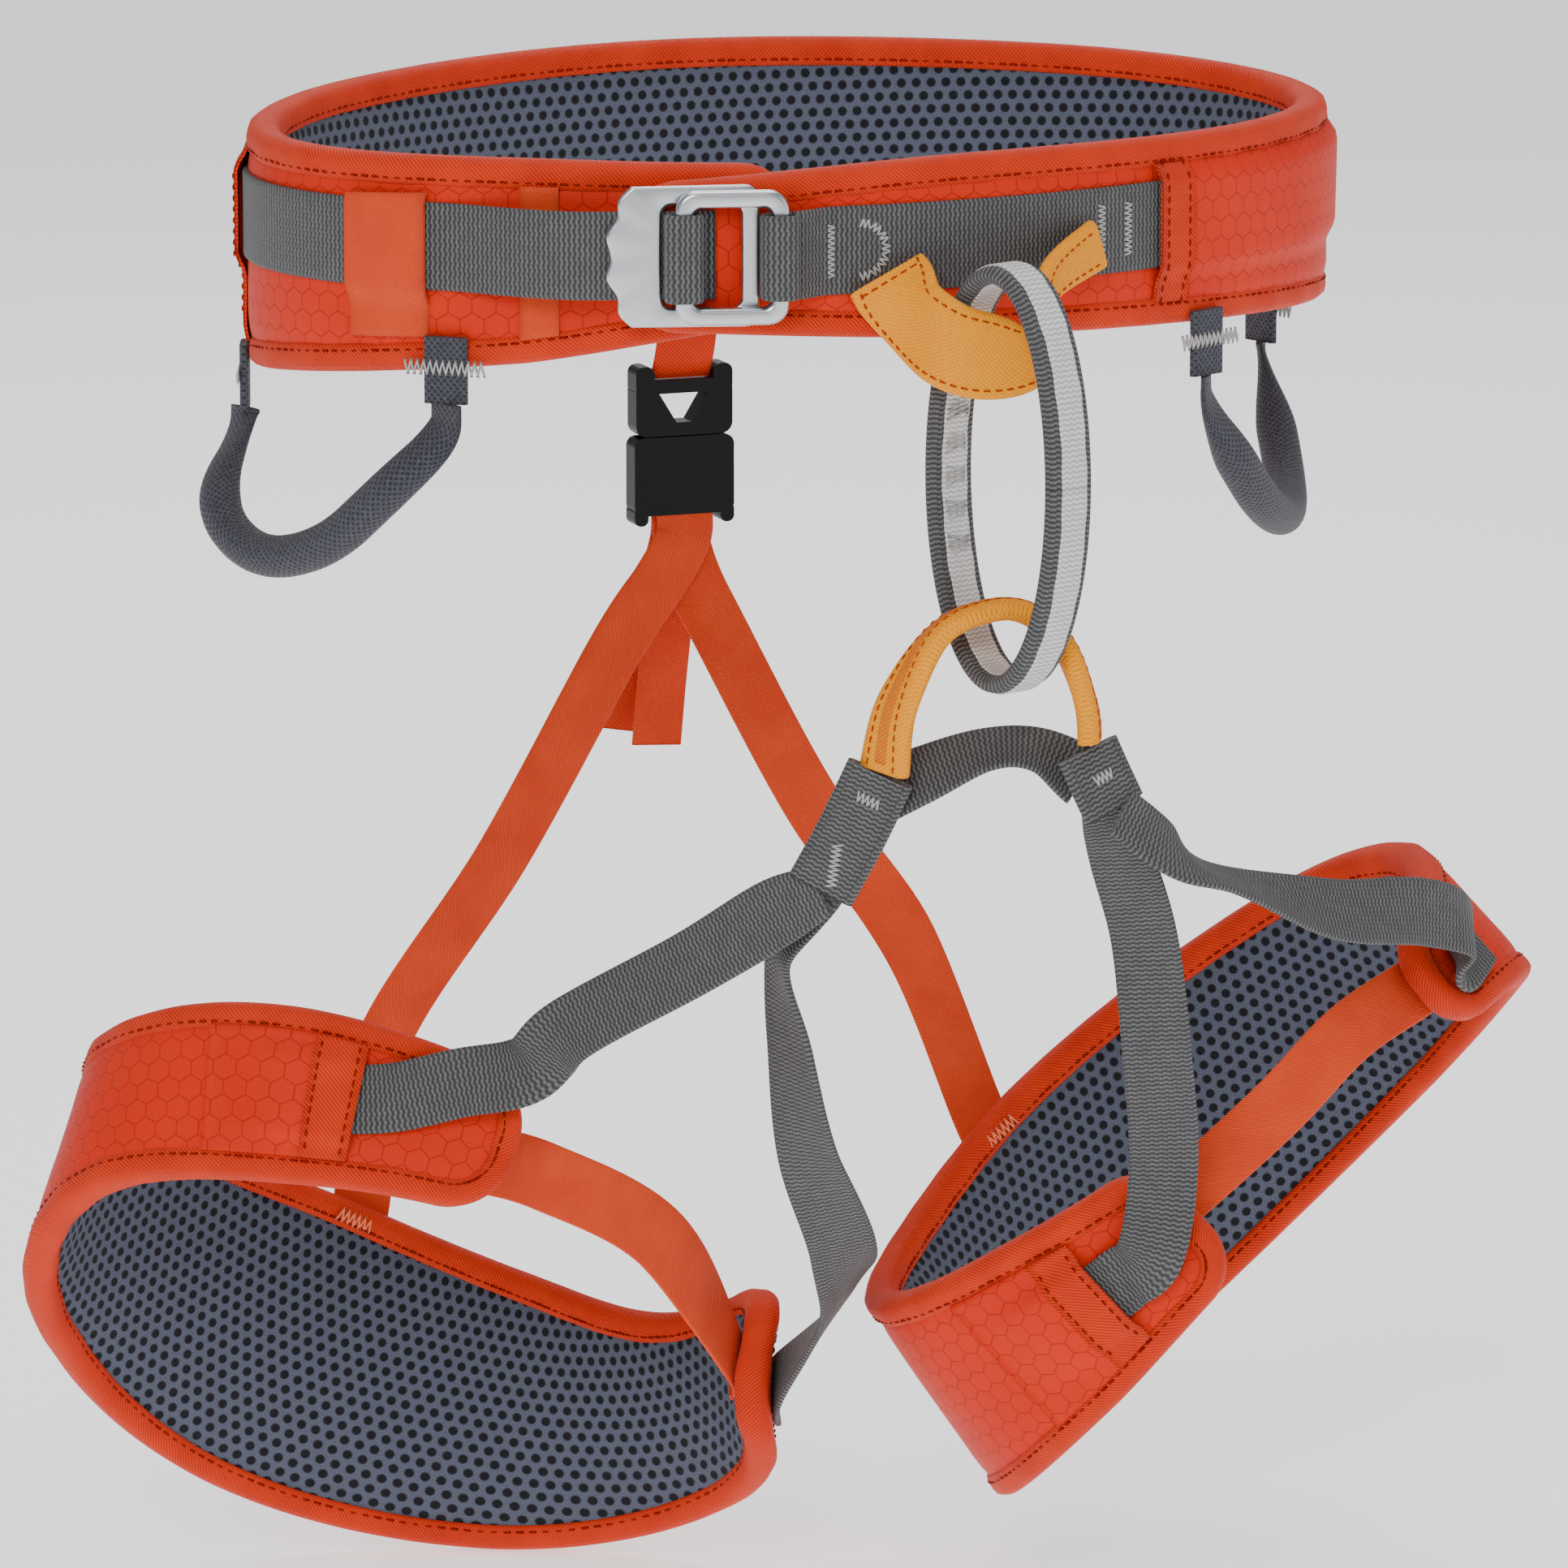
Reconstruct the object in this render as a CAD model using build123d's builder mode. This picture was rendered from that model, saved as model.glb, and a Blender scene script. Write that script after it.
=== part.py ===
from build123d import *
from math import cos, pi, radians, sin, sqrt, tan
import os

os.makedirs("parts", exist_ok=True)

# Climbing harness, millimetres. The origin is the centre of the waist opening at the belt's
# mid-height. +Z is up, the wearer faces -Y, and the wearer's right leg is at -X.

# ---- waist belt: one padded band wound a little more than once round an ellipse ----
belt_half_width = 160.0        # middle of the band to the origin, side to side
belt_half_depth = 104.0        # the same, front to back
belt_start = -34.0             # angle of the outer end, measured from the front towards +X
belt_end = 346.0               # angle of the inner end, tucked behind the outer one
belt_lap = 11.0                # how far the outer end stands off the inner end
belt_steps = 36
belt_end_round = 17.0          # radius of the band's rounded ends
belt_edges = [(-34, -25, 19), (0, -30, 23), (45, -35, 21), (90, -42, 22), (135, -52, 26),
              (180, -58, 29), (225, -53, 26), (270, -45, 22), (315, -36, 21), (346, -25, 17)]

# ---- padding shared by the belt and the leg loops ----
lining_thickness = 1.5
foam_thickness = 5.0
shell_thickness = 1.5
binding_width = 8.0            # how far the edge tape reaches in from the edge
binding_proud = 0.7            # how far the edge tape stands out of both faces
pad_half = (lining_thickness + foam_thickness + shell_thickness) / 2
binding_half = pad_half + binding_proud

# ---- webbing ----
belt_webbing_width = 25.0
belt_webbing_thickness = 2.0
belt_webbing_height = -3.0     # middle of the webbing above the origin
keeper_thickness = 1.2
keeper_start = 291.0           # belt angles where the elastic keeper begins and ends
keeper_end = 303.0
keeper_width = 40.0
keeper_height = -6.5
hem_start = 24.8               # tape across the mouth of the webbing tunnel
hem_end = 29.2
hem_width = 36.0
cover_thickness = 1.0
cover_width = 34.0
cloth_gap = 0.3                # air between sewn layers
leg_webbing_width = 20.0
leg_webbing_thickness = 2.0
elastic_width = 20.0
elastic_thickness = 1.4
riser_width = 18.0
bar_tack_height = 0.8

# ---- waist buckle, on the overlap of the belt's two ends ----
buckle_angle = -25.7
plate_left = -26.0
plate_right = 17.0
plate_height = 40.0
plate_thickness = 2.6
plate_wave = 2.6               # depth of the finger waves on the free edge
plate_window_left = -10.5
plate_window_right = 12.0
frame_length = 32.0
frame_height = 38.0
frame_bar = 5.0
frame_thickness = 4.0
frame_right = 25.0
frame_rest_gap = 0.8           # air between the plate and the frame lying on it
wrap_gap = 0.5
pin_gap = 1.6
wrap_thickness = 1.6

# ---- upper and lower tie-in points and the belay loop ----
upper_sleeve_thickness = 4.0
upper_sleeve_width = 24.0
upper_sleeve_waist = 15.0      # width where the belay loop rides
belay_centre = Vector(4.8, -143.2, -65.5)
belay_turn = 18.0              # the loop's front strand is turned towards the left leg
belay_height = 121.0
belay_depth = 54.0
belay_thickness = 5.0
belay_width = 16.0
belay_stripe_width = 6.0
belay_stripe_thickness = 0.6
lower_sleeve_width = 15.0
lower_sleeve_thickness = 6.0
block_thickness = 4.0
bridge_width = 18.0

# ---- gear loops ----
gear_loop_diameter = 11.0
gear_loop_core = 6.0
gear_tab_width = 13.0
gear_tab_length = 17.0
gear_tab_thickness = 2.4
gear_end_gap = 2.0             # lets the tube swing up on the bottom of its tabs
gear_tack_length = 25.0
gear_tack_width = 4.5
gear_straight = 9.0            # the tube leaves its tabs straight down

# ---- rear buckle between the belt and the risers ----
rear_angle = 174.3
rear_buckle_width = 32.0
rear_buckle_thickness = 8.0
rear_buckle_gap = 0.4
rear_male_top = -76.0
rear_male_height = 17.0
rear_female_height = 24.0
rear_stand_off = 12.0
rear_bar = 4.0
rear_strap_width = 19.0
shoulder_width = 6.0           # rounded shoulders beside the hanger strap
ear_width = 4.4                # lips at the buckle's lower corners
ear_height = 6.0
prong_length = 17.0
prong_width = 3.4

# ---- leg loops ----
leg_steps = 24
leg_end_round = 20.0
right_leg_plane = Plane(origin=(-108, 23, -317.5), x_dir=(0.88, -0.03, -0.48), z_dir=(0.417, 0.537, 0.733))
left_leg_plane = Plane(origin=(113, -54, -290), x_dir=(0.739, -0.17, 0.653), z_dir=(-0.584, 0.324, 0.745))
right_leg_half_length = 110.0
right_leg_half_depth = 80.0
left_leg_half_length = 104.0
left_leg_half_depth = 72.0
# angle round the loop, width of the pad, and the direction across it
right_leg_band = [(-30, 48, 0.10, -0.05), (10, 62, -0.06, 0.03), (50, 87, -0.10, 0.05), (90, 95, 0.08, 0.0),
                  (125, 78, 0.34, 0.05), (180, 54, 0.48, 0.36), (225, 51, 0.15, 0.34), (261, 42, 0.0, 0.28)]
left_leg_band = [(-42, 34, -0.45, 0.35), (-6, 48, -0.80, 0.45), (50, 77, -0.40, 0.12), (106, 94, -0.40, 0.10),
                 (150, 84, -0.54, 0.13), (189, 72, -0.66, 0.16), (230, 58, -0.48, 0.10), (262, 44, -0.22, 0.03)]
riser_angle_right = 85.0
riser_angle_left = 115.0
tunnel_angle_right = 236.0
tunnel_angle_left = 244.0


# ---- shared shapes ----

def smooth(rows, place):
    """A smooth value between rows of numbers, evenly spaced: cubic through each pair."""
    last = len(rows) - 1
    i = min(int(place), last - 1)
    f = place - i
    a, b, c, d = rows[max(i - 1, 0)], rows[i], rows[i + 1], rows[min(i + 2, last)]
    return [q + 0.5 * f * (r - p + f * (2 * p - 5 * q + 4 * r - s + f * (3 * (q - r) + s - p)))
            for p, q, r, s in zip(a, b, c, d)]


def smooth_at(rows, angle):
    """The same, where the first number of each row is an angle and the rows are uneven."""
    last = len(rows) - 1
    i = 0
    while i < last - 1 and angle > rows[i + 1][0]:
        i += 1
    share = (angle - rows[i][0]) / (rows[i + 1][0] - rows[i][0])
    return smooth([row[1:] for row in rows], i + min(max(share, 0.0), 1.0))


def rounded(distance, radius):
    """Share of the full width at a distance from a rounded end."""
    if distance >= radius:
        return 1.0
    return sqrt(max(1 - (1 - distance / radius) ** 2, 0.0))


def slab(stations, low, high):
    """Rectangles across a band: each station is a point, the direction across, a tangent and a width."""
    faces = []
    for point, across, along, width in stations:
        flat = Plane(origin=point, x_dir=across, z_dir=along)
        with BuildSketch(flat) as rectangle:
            with Locations((0, (low + high) / 2)):
                Rectangle(width, high - low)
        faces.append(rectangle.sketch.face())
    return faces


def belt_point(angle, height, lift):
    """A point on the wound belt: its angle, its height, and its distance out from the band's middle."""
    turn = radians(angle)
    x = belt_half_width * sin(turn)
    y = -belt_half_depth * cos(turn)
    out = belt_out(angle)
    spiral = belt_lap * (0.5 - (angle - belt_start) / (belt_end - belt_start))
    return Vector(x, y, height) + out * (lift + spiral)


def belt_out(angle):
    turn = radians(angle)
    return Vector(belt_half_depth * sin(turn), -belt_half_width * cos(turn), 0).normalized()


def belt_along(angle):
    return Vector(0, 0, 1).cross(belt_out(angle))


def belt_mark(i):
    return belt_start + (belt_end - belt_start) * i / belt_steps


def belt_marks(first, last):
    """Angles at which every layer of the belt has a station, between two given ones."""
    marks = [belt_mark(i) for i in range(belt_steps + 1)]
    return [first] + [a for a in marks if first + 0.8 < a < last - 0.8] + [last]


def end_marks(first, last, step, radius, marks):
    """Angles along a pad: close together where its ends are rounded, and on both sides of the tape."""
    close = [0.3, 2.2, 5.0, binding_width - 0.4, binding_width, binding_width + 2.5, radius - 3]
    reach = (radius + 2) * step
    ends = [first + n * step for n in close]
    return (ends + [a for a in marks if first + reach < a < last - reach]
            + [last - n * step for n in reversed(close)])


def tape_width(distance, full, radius):
    """Half width of a pad and of the opening inside its edge tape, at a distance from its end."""
    outer = full / 2 * (0.25 + 0.75 * rounded(distance, radius))
    within = distance - binding_width
    if within < -0.01:
        return outer, 0.0
    inner = (full / 2 - binding_width) * (0.35 + 0.65 * rounded(within, radius - binding_width / 2))
    return outer, inner


def belt_band():
    """Stations of the belt's pad: point, across, along, half width, half width inside the tape."""
    step = 180 / (pi * belt_half_width)
    radius = belt_end_round
    stations = []
    for angle in end_marks(belt_start, belt_end, step, radius, belt_marks(belt_start, belt_end)):
        low, high = smooth_at(belt_edges, angle)
        reach = min(angle - belt_start, belt_end - angle) / step
        outer, inner = tape_width(reach, high - low, radius)
        point = belt_point(angle, (low + high) / 2, 0)
        stations.append((point, Vector(0, 0, 1), belt_along(angle), outer, inner))
    return stations


def belt_strip(first, last, low, high, width, height=belt_webbing_height):
    """A flat strap laid round the belt between two angles and two distances out."""
    stations = [(belt_point(angle, height, 0), Vector(0, 0, 1), belt_along(angle), width)
                for angle in belt_marks(first, last)]
    return slab(stations, low, high)


def leg_point(leg, angle, height, lift):
    """A point on a leg loop: angle round it, distance up across the pad, distance out of its middle."""
    point, across, along, width = leg_station(leg, angle)
    return point + across * height + along.cross(across) * lift


def leg_middle(leg, angle):
    plane, half_length, half_depth, band = leg
    turn = radians(angle)
    return plane.from_local_coords(Vector(half_length * cos(turn), half_depth * sin(turn), 0))


def leg_station(leg, angle):
    plane, half_length, half_depth, band = leg
    along = (leg_middle(leg, angle + 1) - leg_middle(leg, angle - 1)).normalized()
    width, lean_x, lean_y = smooth_at(band, angle)
    across = Vector(lean_x, lean_y, 1)
    across = (across - along * across.dot(along)).normalized()
    return leg_middle(leg, angle), across, along, width


def leg_band(leg):
    """Stations of a leg pad, like the belt's."""
    plane, half_length, half_depth, band = leg
    step = 180 / (pi * sqrt((half_length ** 2 + half_depth ** 2) / 2))
    first, last = band[0][0], band[-1][0]
    marks = [first + (last - first) * i / leg_steps for i in range(leg_steps + 1)]
    stations = []
    for angle in end_marks(first, last, step, leg_end_round, marks):
        point, across, along, width = leg_station(leg, angle)
        reach = min(angle - first, last - angle) / step
        outer, inner = tape_width(reach, width, leg_end_round)
        stations.append((point, across, along, outer, inner))
    return stations


def free_strap(route, widths, steps=3):
    """Stations of a free strap: a route of points, and which way its flat face looks at each."""
    rows = [list(point) + list(face) for point, face in route]
    count = (len(rows) - 1) * steps
    places = [i / steps for i in range(count + 1)]
    points = [Vector(*smooth(rows, place)[:3]) for place in places]
    stations = []
    for i, place in enumerate(places):
        along = (points[min(i + 1, count)] - points[max(i - 1, 0)]).normalized()
        face = Vector(*smooth(rows, place)[3:])
        across = face.cross(along).normalized()
        width = smooth([[w] for w in widths], place * (len(widths) - 1) / (len(rows) - 1))[0]
        stations.append((points[i], across, along, width))
    return stations


def keep(build, name):
    build.part.label = name
    export_step(build.part, f"parts/{name}.step")


def layers(band, name):
    """The three layers of a pad, and the tape bound round its edges in an upper and a lower half."""
    inside = [(p, across, along, 2 * inner) for p, across, along, outer, inner in band if inner]
    low, high = -pad_half, pad_half
    with BuildPart() as mesh_lining:
        loft(slab(inside, low, low + lining_thickness), ruled=True)
    keep(mesh_lining, f"{name}_mesh_lining")
    with BuildPart() as foam_core:
        loft(slab(inside, low + lining_thickness, high - shell_thickness), ruled=True)
    keep(foam_core, f"{name}_foam_core")
    with BuildPart() as outer_shell:
        loft(slab(inside, high - shell_thickness, high), ruled=True)
    keep(outer_shell, f"{name}_outer_shell")
    with BuildPart() as edge_binding:
        for side in (1, -1):
            half = [(p + across * side * (outer + inner) / 2, across, along, outer - inner)
                    for p, across, along, outer, inner in band]
            loft(slab(half, -binding_half, binding_half), ruled=True)
    keep(edge_binding, f"{name}_edge_binding")


# ---- belt ----

layers(belt_band(), "belt")

webbing_low = pad_half
webbing_high = pad_half + belt_webbing_thickness
buckle_reach = 11.5            # degrees of belt from the buckle's middle to either webbing
fixed_webbing_start = buckle_angle + buckle_reach
adjusting_webbing_end = 360 + buckle_angle - buckle_reach
webbing_join = belt_mark(24)    # where the two webbings meet, under the cover

with BuildPart() as belt_webbing_fixed:
    loft(belt_strip(fixed_webbing_start, webbing_join, webbing_low, webbing_high, belt_webbing_width),
         ruled=True)
keep(belt_webbing_fixed, "belt_webbing_fixed")

# the adjusting webbing climbs from the inner end of the belt onto the outer end
climb_angle = 16.0
climb_start = adjusting_webbing_end - climb_angle - 1
with BuildPart() as belt_webbing_adjusting:
    stations = []
    extra = [climb_start + climb_angle * i / 4 for i in range(1, 4)]
    for angle in sorted(belt_marks(webbing_join + 0.3, adjusting_webbing_end) + extra):
        share = min(max((angle - climb_start) / climb_angle, 0), 1)
        climb = belt_lap * smooth([[0], [0], [1], [1]], 1 + share)[0]
        point = belt_point(angle, belt_webbing_height, climb)
        stations.append((point, Vector(0, 0, 1), belt_along(angle), belt_webbing_width))
    loft(slab(stations, webbing_low, webbing_high), ruled=True)
keep(belt_webbing_adjusting, "belt_webbing_adjusting")

keeper_low = webbing_high + cloth_gap
with BuildPart() as webbing_keeper_elastic:
    loft(belt_strip(keeper_start, keeper_end, keeper_low, keeper_low + keeper_thickness, keeper_width,
                    keeper_height), ruled=True)
keep(webbing_keeper_elastic, "webbing_keeper_elastic")

with BuildPart() as belt_tunnel_hem:
    loft(belt_strip(hem_start, hem_end, keeper_low, keeper_low + keeper_thickness, hem_width, -4),
         ruled=True)
keep(belt_tunnel_hem, "belt_tunnel_hem")

cover_start, cover_end = belt_mark(6), belt_mark(27)
with BuildPart() as belt_tunnel_cover:
    loft(belt_strip(cover_start, cover_end, keeper_low, keeper_low + cover_thickness, cover_width, -5),
         ruled=True)
keep(belt_tunnel_cover, "belt_tunnel_cover")

tack_low = webbing_high + 0.05
tack_turn = 1.2                # degrees of belt that one bar tack takes
tack_length = 14.0
with BuildPart() as belt_bar_tacks:
    for angle in (-14.5, -11.5, 20.8):
        loft(belt_strip(angle - tack_turn / 2, angle + tack_turn / 2, tack_low,
                        tack_low + bar_tack_height, tack_length), ruled=True)
keep(belt_bar_tacks, "belt_bar_tacks")

# ---- waist buckle ----

plate_low = webbing_high + cloth_gap
plate_high = plate_low + plate_thickness
frame_low = plate_high + frame_rest_gap
frame_high = frame_low + frame_thickness
frame_middle = (frame_low + frame_high) / 2
frame_left = frame_right - frame_length
buckle_plane = Plane(origin=belt_point(buckle_angle, belt_webbing_height, 0),
                     x_dir=belt_along(buckle_angle), z_dir=belt_out(buckle_angle))

with BuildPart() as waist_buckle_plate:
    with BuildSketch(buckle_plane.offset(plate_low)):
        with BuildLine():
            top = plate_height / 2
            Spline((plate_left + 8, top), (plate_left + plate_wave, top * 0.62), (plate_left, top * 0.3),
                   (plate_left + plate_wave, 0), (plate_left, -top * 0.3),
                   (plate_left + plate_wave, -top * 0.62), (plate_left + 8, -top),
                   tangents=((-1, 0), (1, 0)))
            Line((plate_left + 8, -top), (plate_right, -top))
            Line((plate_right, -top), (plate_right, top))
            Line((plate_right, top), (plate_left + 8, top))
        make_face()
        with Locations(((plate_window_left + plate_window_right) / 2, 0)):
            RectangleRounded(plate_window_right - plate_window_left, belt_webbing_width + 4, 2,
                             mode=Mode.SUBTRACT)
    extrude(amount=plate_thickness)
keep(waist_buckle_plate, "waist_buckle_plate")

with BuildPart() as waist_buckle_frame:
    with BuildSketch(buckle_plane.offset(frame_low)):
        with Locations(((frame_left + frame_right) / 2, 0)):
            RectangleRounded(frame_length, frame_height, 5)
            Rectangle(frame_length - 2 * frame_bar, frame_height - 2 * frame_bar - 1, mode=Mode.SUBTRACT)
    extrude(amount=frame_thickness)
    top_face = waist_buckle_frame.faces().sort_by(Axis(buckle_plane.origin, buckle_plane.z_dir))[-1]
    fillet(top_face.edges(), 1.2)
keep(waist_buckle_frame, "waist_buckle_frame")


def strap_eye(centre, half_length, half_depth, width):
    """A flat strap sewn in an eye round a buckle bar."""
    side = Plane(origin=buckle_plane.from_local_coords(Vector(centre, 0, frame_middle)),
                 x_dir=buckle_plane.x_dir, z_dir=Vector(0, 0, 1))
    with BuildPart() as eye:
        with BuildSketch(side):
            RectangleRounded(2 * (half_length + wrap_thickness), 2 * (half_depth + wrap_thickness),
                             half_depth + wrap_thickness - 0.05)
            RectangleRounded(2 * half_length, 2 * half_depth, half_depth - 0.05, mode=Mode.SUBTRACT)
        extrude(amount=width / 2, both=True)
    return eye


adjusting_webbing_wrap = strap_eye(frame_left + frame_bar / 2, frame_bar / 2 + wrap_gap + 0.9,
                                   frame_thickness / 2 + wrap_gap, belt_webbing_width)
keep(adjusting_webbing_wrap, "adjusting_webbing_wrap")
fixed_webbing_eye = strap_eye(frame_right - frame_bar / 2, frame_bar / 2 + pin_gap,
                              frame_thickness / 2 + pin_gap, belt_webbing_width - 1)
keep(fixed_webbing_eye, "fixed_webbing_eye")

# ---- upper tie-in point ----

tie_in_rest = webbing_high + bar_tack_height + cloth_gap + upper_sleeve_thickness / 2
tie_in_start = belt_point(-7, -10, tie_in_rest)
tie_in_end = belt_point(16, -6, tie_in_rest)
upper_route = [(tie_in_start, belt_out(-7)), ((-15.5, -125, -21), (-0.9, -0.4, 0.05)),
               ((-10, -136.5, -28), (-0.75, -0.65, 0.1)), ((0, -142.5, -31), (-0.4, -0.9, 0.1)),
               ((10, -145, -31), (0.1, -1.0, 0.1)), ((18, -139, -26), (0.7, -0.7, 0.1)),
               ((26, -125, -14), (0.8, -0.6, 0.0)), (tie_in_end, belt_out(16))]
upper_widths = [upper_sleeve_width, upper_sleeve_waist + 2, upper_sleeve_waist, upper_sleeve_waist,
                upper_sleeve_waist, upper_sleeve_waist, upper_sleeve_waist, upper_sleeve_waist]


def sleeved(route, widths, core, full, webbing_name, sleeve_name):
    """A core of webbing with a sleeve's two faces sewn over it."""
    stations = free_strap(route, widths)
    with BuildPart() as webbing:
        loft(slab(stations, -core / 2, core / 2), ruled=True)
    keep(webbing, webbing_name)
    with BuildPart() as sleeve:
        loft(slab(stations, core / 2, full / 2), ruled=True)
        loft(slab(stations, -full / 2, -core / 2), ruled=True)
    keep(sleeve, sleeve_name)


sleeved(upper_route, upper_widths, leg_webbing_thickness, upper_sleeve_thickness,
        "upper_tie_in_webbing", "upper_tie_in_sleeve")

# ---- belay loop ----

belay_front = Vector(sin(radians(belay_turn)), -cos(radians(belay_turn)), 0)
belay_plane = Plane(origin=belay_centre, x_dir=belay_front, z_dir=belay_front.cross(Vector(0, 0, 1)))
with BuildPart() as belay_loop_webbing:
    with BuildSketch(belay_plane):
        Ellipse(belay_depth / 2, belay_height / 2)
        Ellipse(belay_depth / 2 - belay_thickness, belay_height / 2 - belay_thickness, mode=Mode.SUBTRACT)
    extrude(amount=belay_width / 2, both=True)
keep(belay_loop_webbing, "belay_loop_webbing")

with BuildPart() as belay_loop_stripe:
    with BuildSketch(belay_plane):
        Ellipse(belay_depth / 2 + belay_stripe_thickness, belay_height / 2 + belay_stripe_thickness)
        Ellipse(belay_depth / 2, belay_height / 2, mode=Mode.SUBTRACT)
    extrude(amount=belay_stripe_width / 2, both=True)
keep(belay_loop_stripe, "belay_loop_stripe")

# ---- lower tie-in point: an arch of sleeved webbing and the bridge that closes it ----

arch_route = [((-26, -128, -149), (-0.75, -0.6, 0.2)), ((-24, -132, -130), (-0.8, -0.4, 0.35)),
              ((-14, -137.5, -110), (-0.5, 0.1, 0.8)), ((-1, -141, -103.5), (0.0, 0.15, 1.0)),
              ((11, -143, -104.5), (0.3, 0.1, 0.92)), ((21, -146, -114), (0.8, -0.1, 0.6)),
              ((26, -150, -130), (0.85, -0.4, 0.2)), ((27, -151, -141), (0.85, -0.5, 0.1))]
arch_widths = [lower_sleeve_width, 11, 9, 8.5, 8.5, 8.5, 12, lower_sleeve_width]
sleeved(arch_route, arch_widths, block_thickness, lower_sleeve_thickness,
        "lower_tie_in_webbing", "lower_tie_in_sleeve")

view_face = (-0.4, -0.9, 0.15)
right_block_route = [((-27.5, -127, -152), view_face), ((-33, -122, -167), view_face),
                     ((-39, -116, -182), view_face)]
left_block_route = [((26, -151.5, -144), (0.1, -0.98, 0.1)), ((29, -153.5, -151), (0.1, -0.98, 0.1)),
                    ((32, -155, -158), (0.1, -0.98, 0.1))]
for side, route in (("right", right_block_route), ("left", left_block_route)):
    with BuildPart() as junction:
        loft(slab(free_strap(route, [leg_webbing_width, leg_webbing_width]),
                  -block_thickness / 2, block_thickness / 2), ruled=True)
    keep(junction, f"{side}_leg_sewn_joint")

bridge_route = [((-25, -119.5, -160), view_face), ((-15, -127, -152), (-0.3, -0.7, 0.6)),
                ((2, -136, -144), (0.0, -0.5, 0.85)), ((15, -142, -144), (0.1, -0.6, 0.75)),
                ((27, -146.5, -152), (0.1, -0.98, 0.1))]
with BuildPart() as leg_bridge_webbing:
    loft(slab(free_strap(bridge_route, [bridge_width, bridge_width]), -1, 1), ruled=True)
keep(leg_bridge_webbing, "leg_bridge_webbing")

# ---- gear loops ----


def tube_path(points):
    """Straight runs joined by arcs as large as their runs allow."""
    radii = []
    for a, b, c in zip(points, points[1:], points[2:]):
        turn = radians((b - a).get_angle(c - b))
        radii.append(0.45 * min((b - a).length, (c - b).length) / tan(turn / 2))
    with BuildLine() as path:
        FilletPolyline(*points, radius=radii)
    return path.wires()[0]


right_gear_points = [(-147, -52, -74), (-157, -33, -92), (-168, -6, -99), (-173, 17, -86)]
left_gear_points = [(101, -92, -74), (120, -74, -93), (143, -44, -103), (158, -12, -94)]
gear_ends = {"right": (305.5, 254.0, -37, -50), "left": (32.4, 99.6, -38, -50)}
for side, middle in (("right", right_gear_points), ("left", left_gear_points)):
    front, back, front_height, back_height = gear_ends[side]
    tab_low = binding_half + cloth_gap
    tab_middle = tab_low + gear_tab_thickness / 2
    tops = [belt_point(a, h, tab_middle) for a, h in ((front, front_height), (back, back_height))]
    drop = Vector(0, 0, gear_tab_length / 2 + gear_end_gap)
    ends = [top - drop for top in tops]
    below = Vector(0, 0, gear_straight)
    route = ([ends[0], ends[0] - below] + [Vector(*p) for p in middle]
             + [ends[1] - below, ends[1]])
    path = tube_path(route)
    with BuildPart() as gear_core:
        with BuildSketch(Plane(origin=path @ 0, z_dir=path % 0)):
            Circle(gear_loop_core / 2 - 0.05)
        sweep(path=path)
    keep(gear_core, f"{side}_gear_loop_core")
    with BuildPart() as gear_sleeve:
        with BuildSketch(Plane(origin=path @ 0, z_dir=path % 0)):
            Circle(gear_loop_diameter / 2)
            Circle(gear_loop_core / 2, mode=Mode.SUBTRACT)
        sweep(path=path)
    keep(gear_sleeve, f"{side}_gear_loop_sleeve")
    with BuildPart() as gear_tabs:
        for angle, top in zip((front, back), tops):
            with BuildSketch(Plane(origin=top - belt_out(angle) * gear_tab_thickness / 2,
                                   x_dir=belt_along(angle), z_dir=belt_out(angle))):
                RectangleRounded(gear_tab_width, gear_tab_length, 2)
            extrude(amount=gear_tab_thickness)
    keep(gear_tabs, f"{side}_gear_loop_tabs")
    with BuildPart() as gear_tacks:
        for angle, top in zip((front, back), tops):
            with BuildSketch(Plane(origin=top + belt_out(angle) * gear_tab_thickness / 2,
                                   x_dir=belt_along(angle), z_dir=belt_out(angle))):
                Rectangle(gear_tack_length, gear_tack_width)
            extrude(amount=bar_tack_height)
    keep(gear_tacks, f"{side}_gear_loop_bar_tacks")

# ---- rear buckle and hanger strap ----

rear_plane = Plane(origin=belt_point(rear_angle, 0, rear_stand_off), x_dir=belt_along(rear_angle),
                   z_dir=belt_out(rear_angle))
male_bottom = rear_male_top - rear_male_height
female_top = male_bottom - rear_buckle_gap
female_bottom = female_top - rear_female_height
half_width = rear_buckle_width / 2
half_thick = rear_buckle_thickness / 2

with BuildPart() as rear_hanger_strap:
    out_start = binding_half + 2 * cloth_gap + elastic_thickness / 2 - rear_stand_off
    route = [(rear_plane.from_local_coords(Vector(0, -44, out_start)), rear_plane.z_dir),
             (rear_plane.from_local_coords(Vector(0, -62, out_start)), rear_plane.z_dir),
             (rear_plane.from_local_coords(Vector(0, rear_male_top + 0.6, 0)), rear_plane.z_dir)]
    loft(slab(free_strap(route, [rear_strap_width, rear_strap_width]),
              -elastic_thickness / 2, elastic_thickness / 2), ruled=True)
keep(rear_hanger_strap, "rear_hanger_strap")

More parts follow.
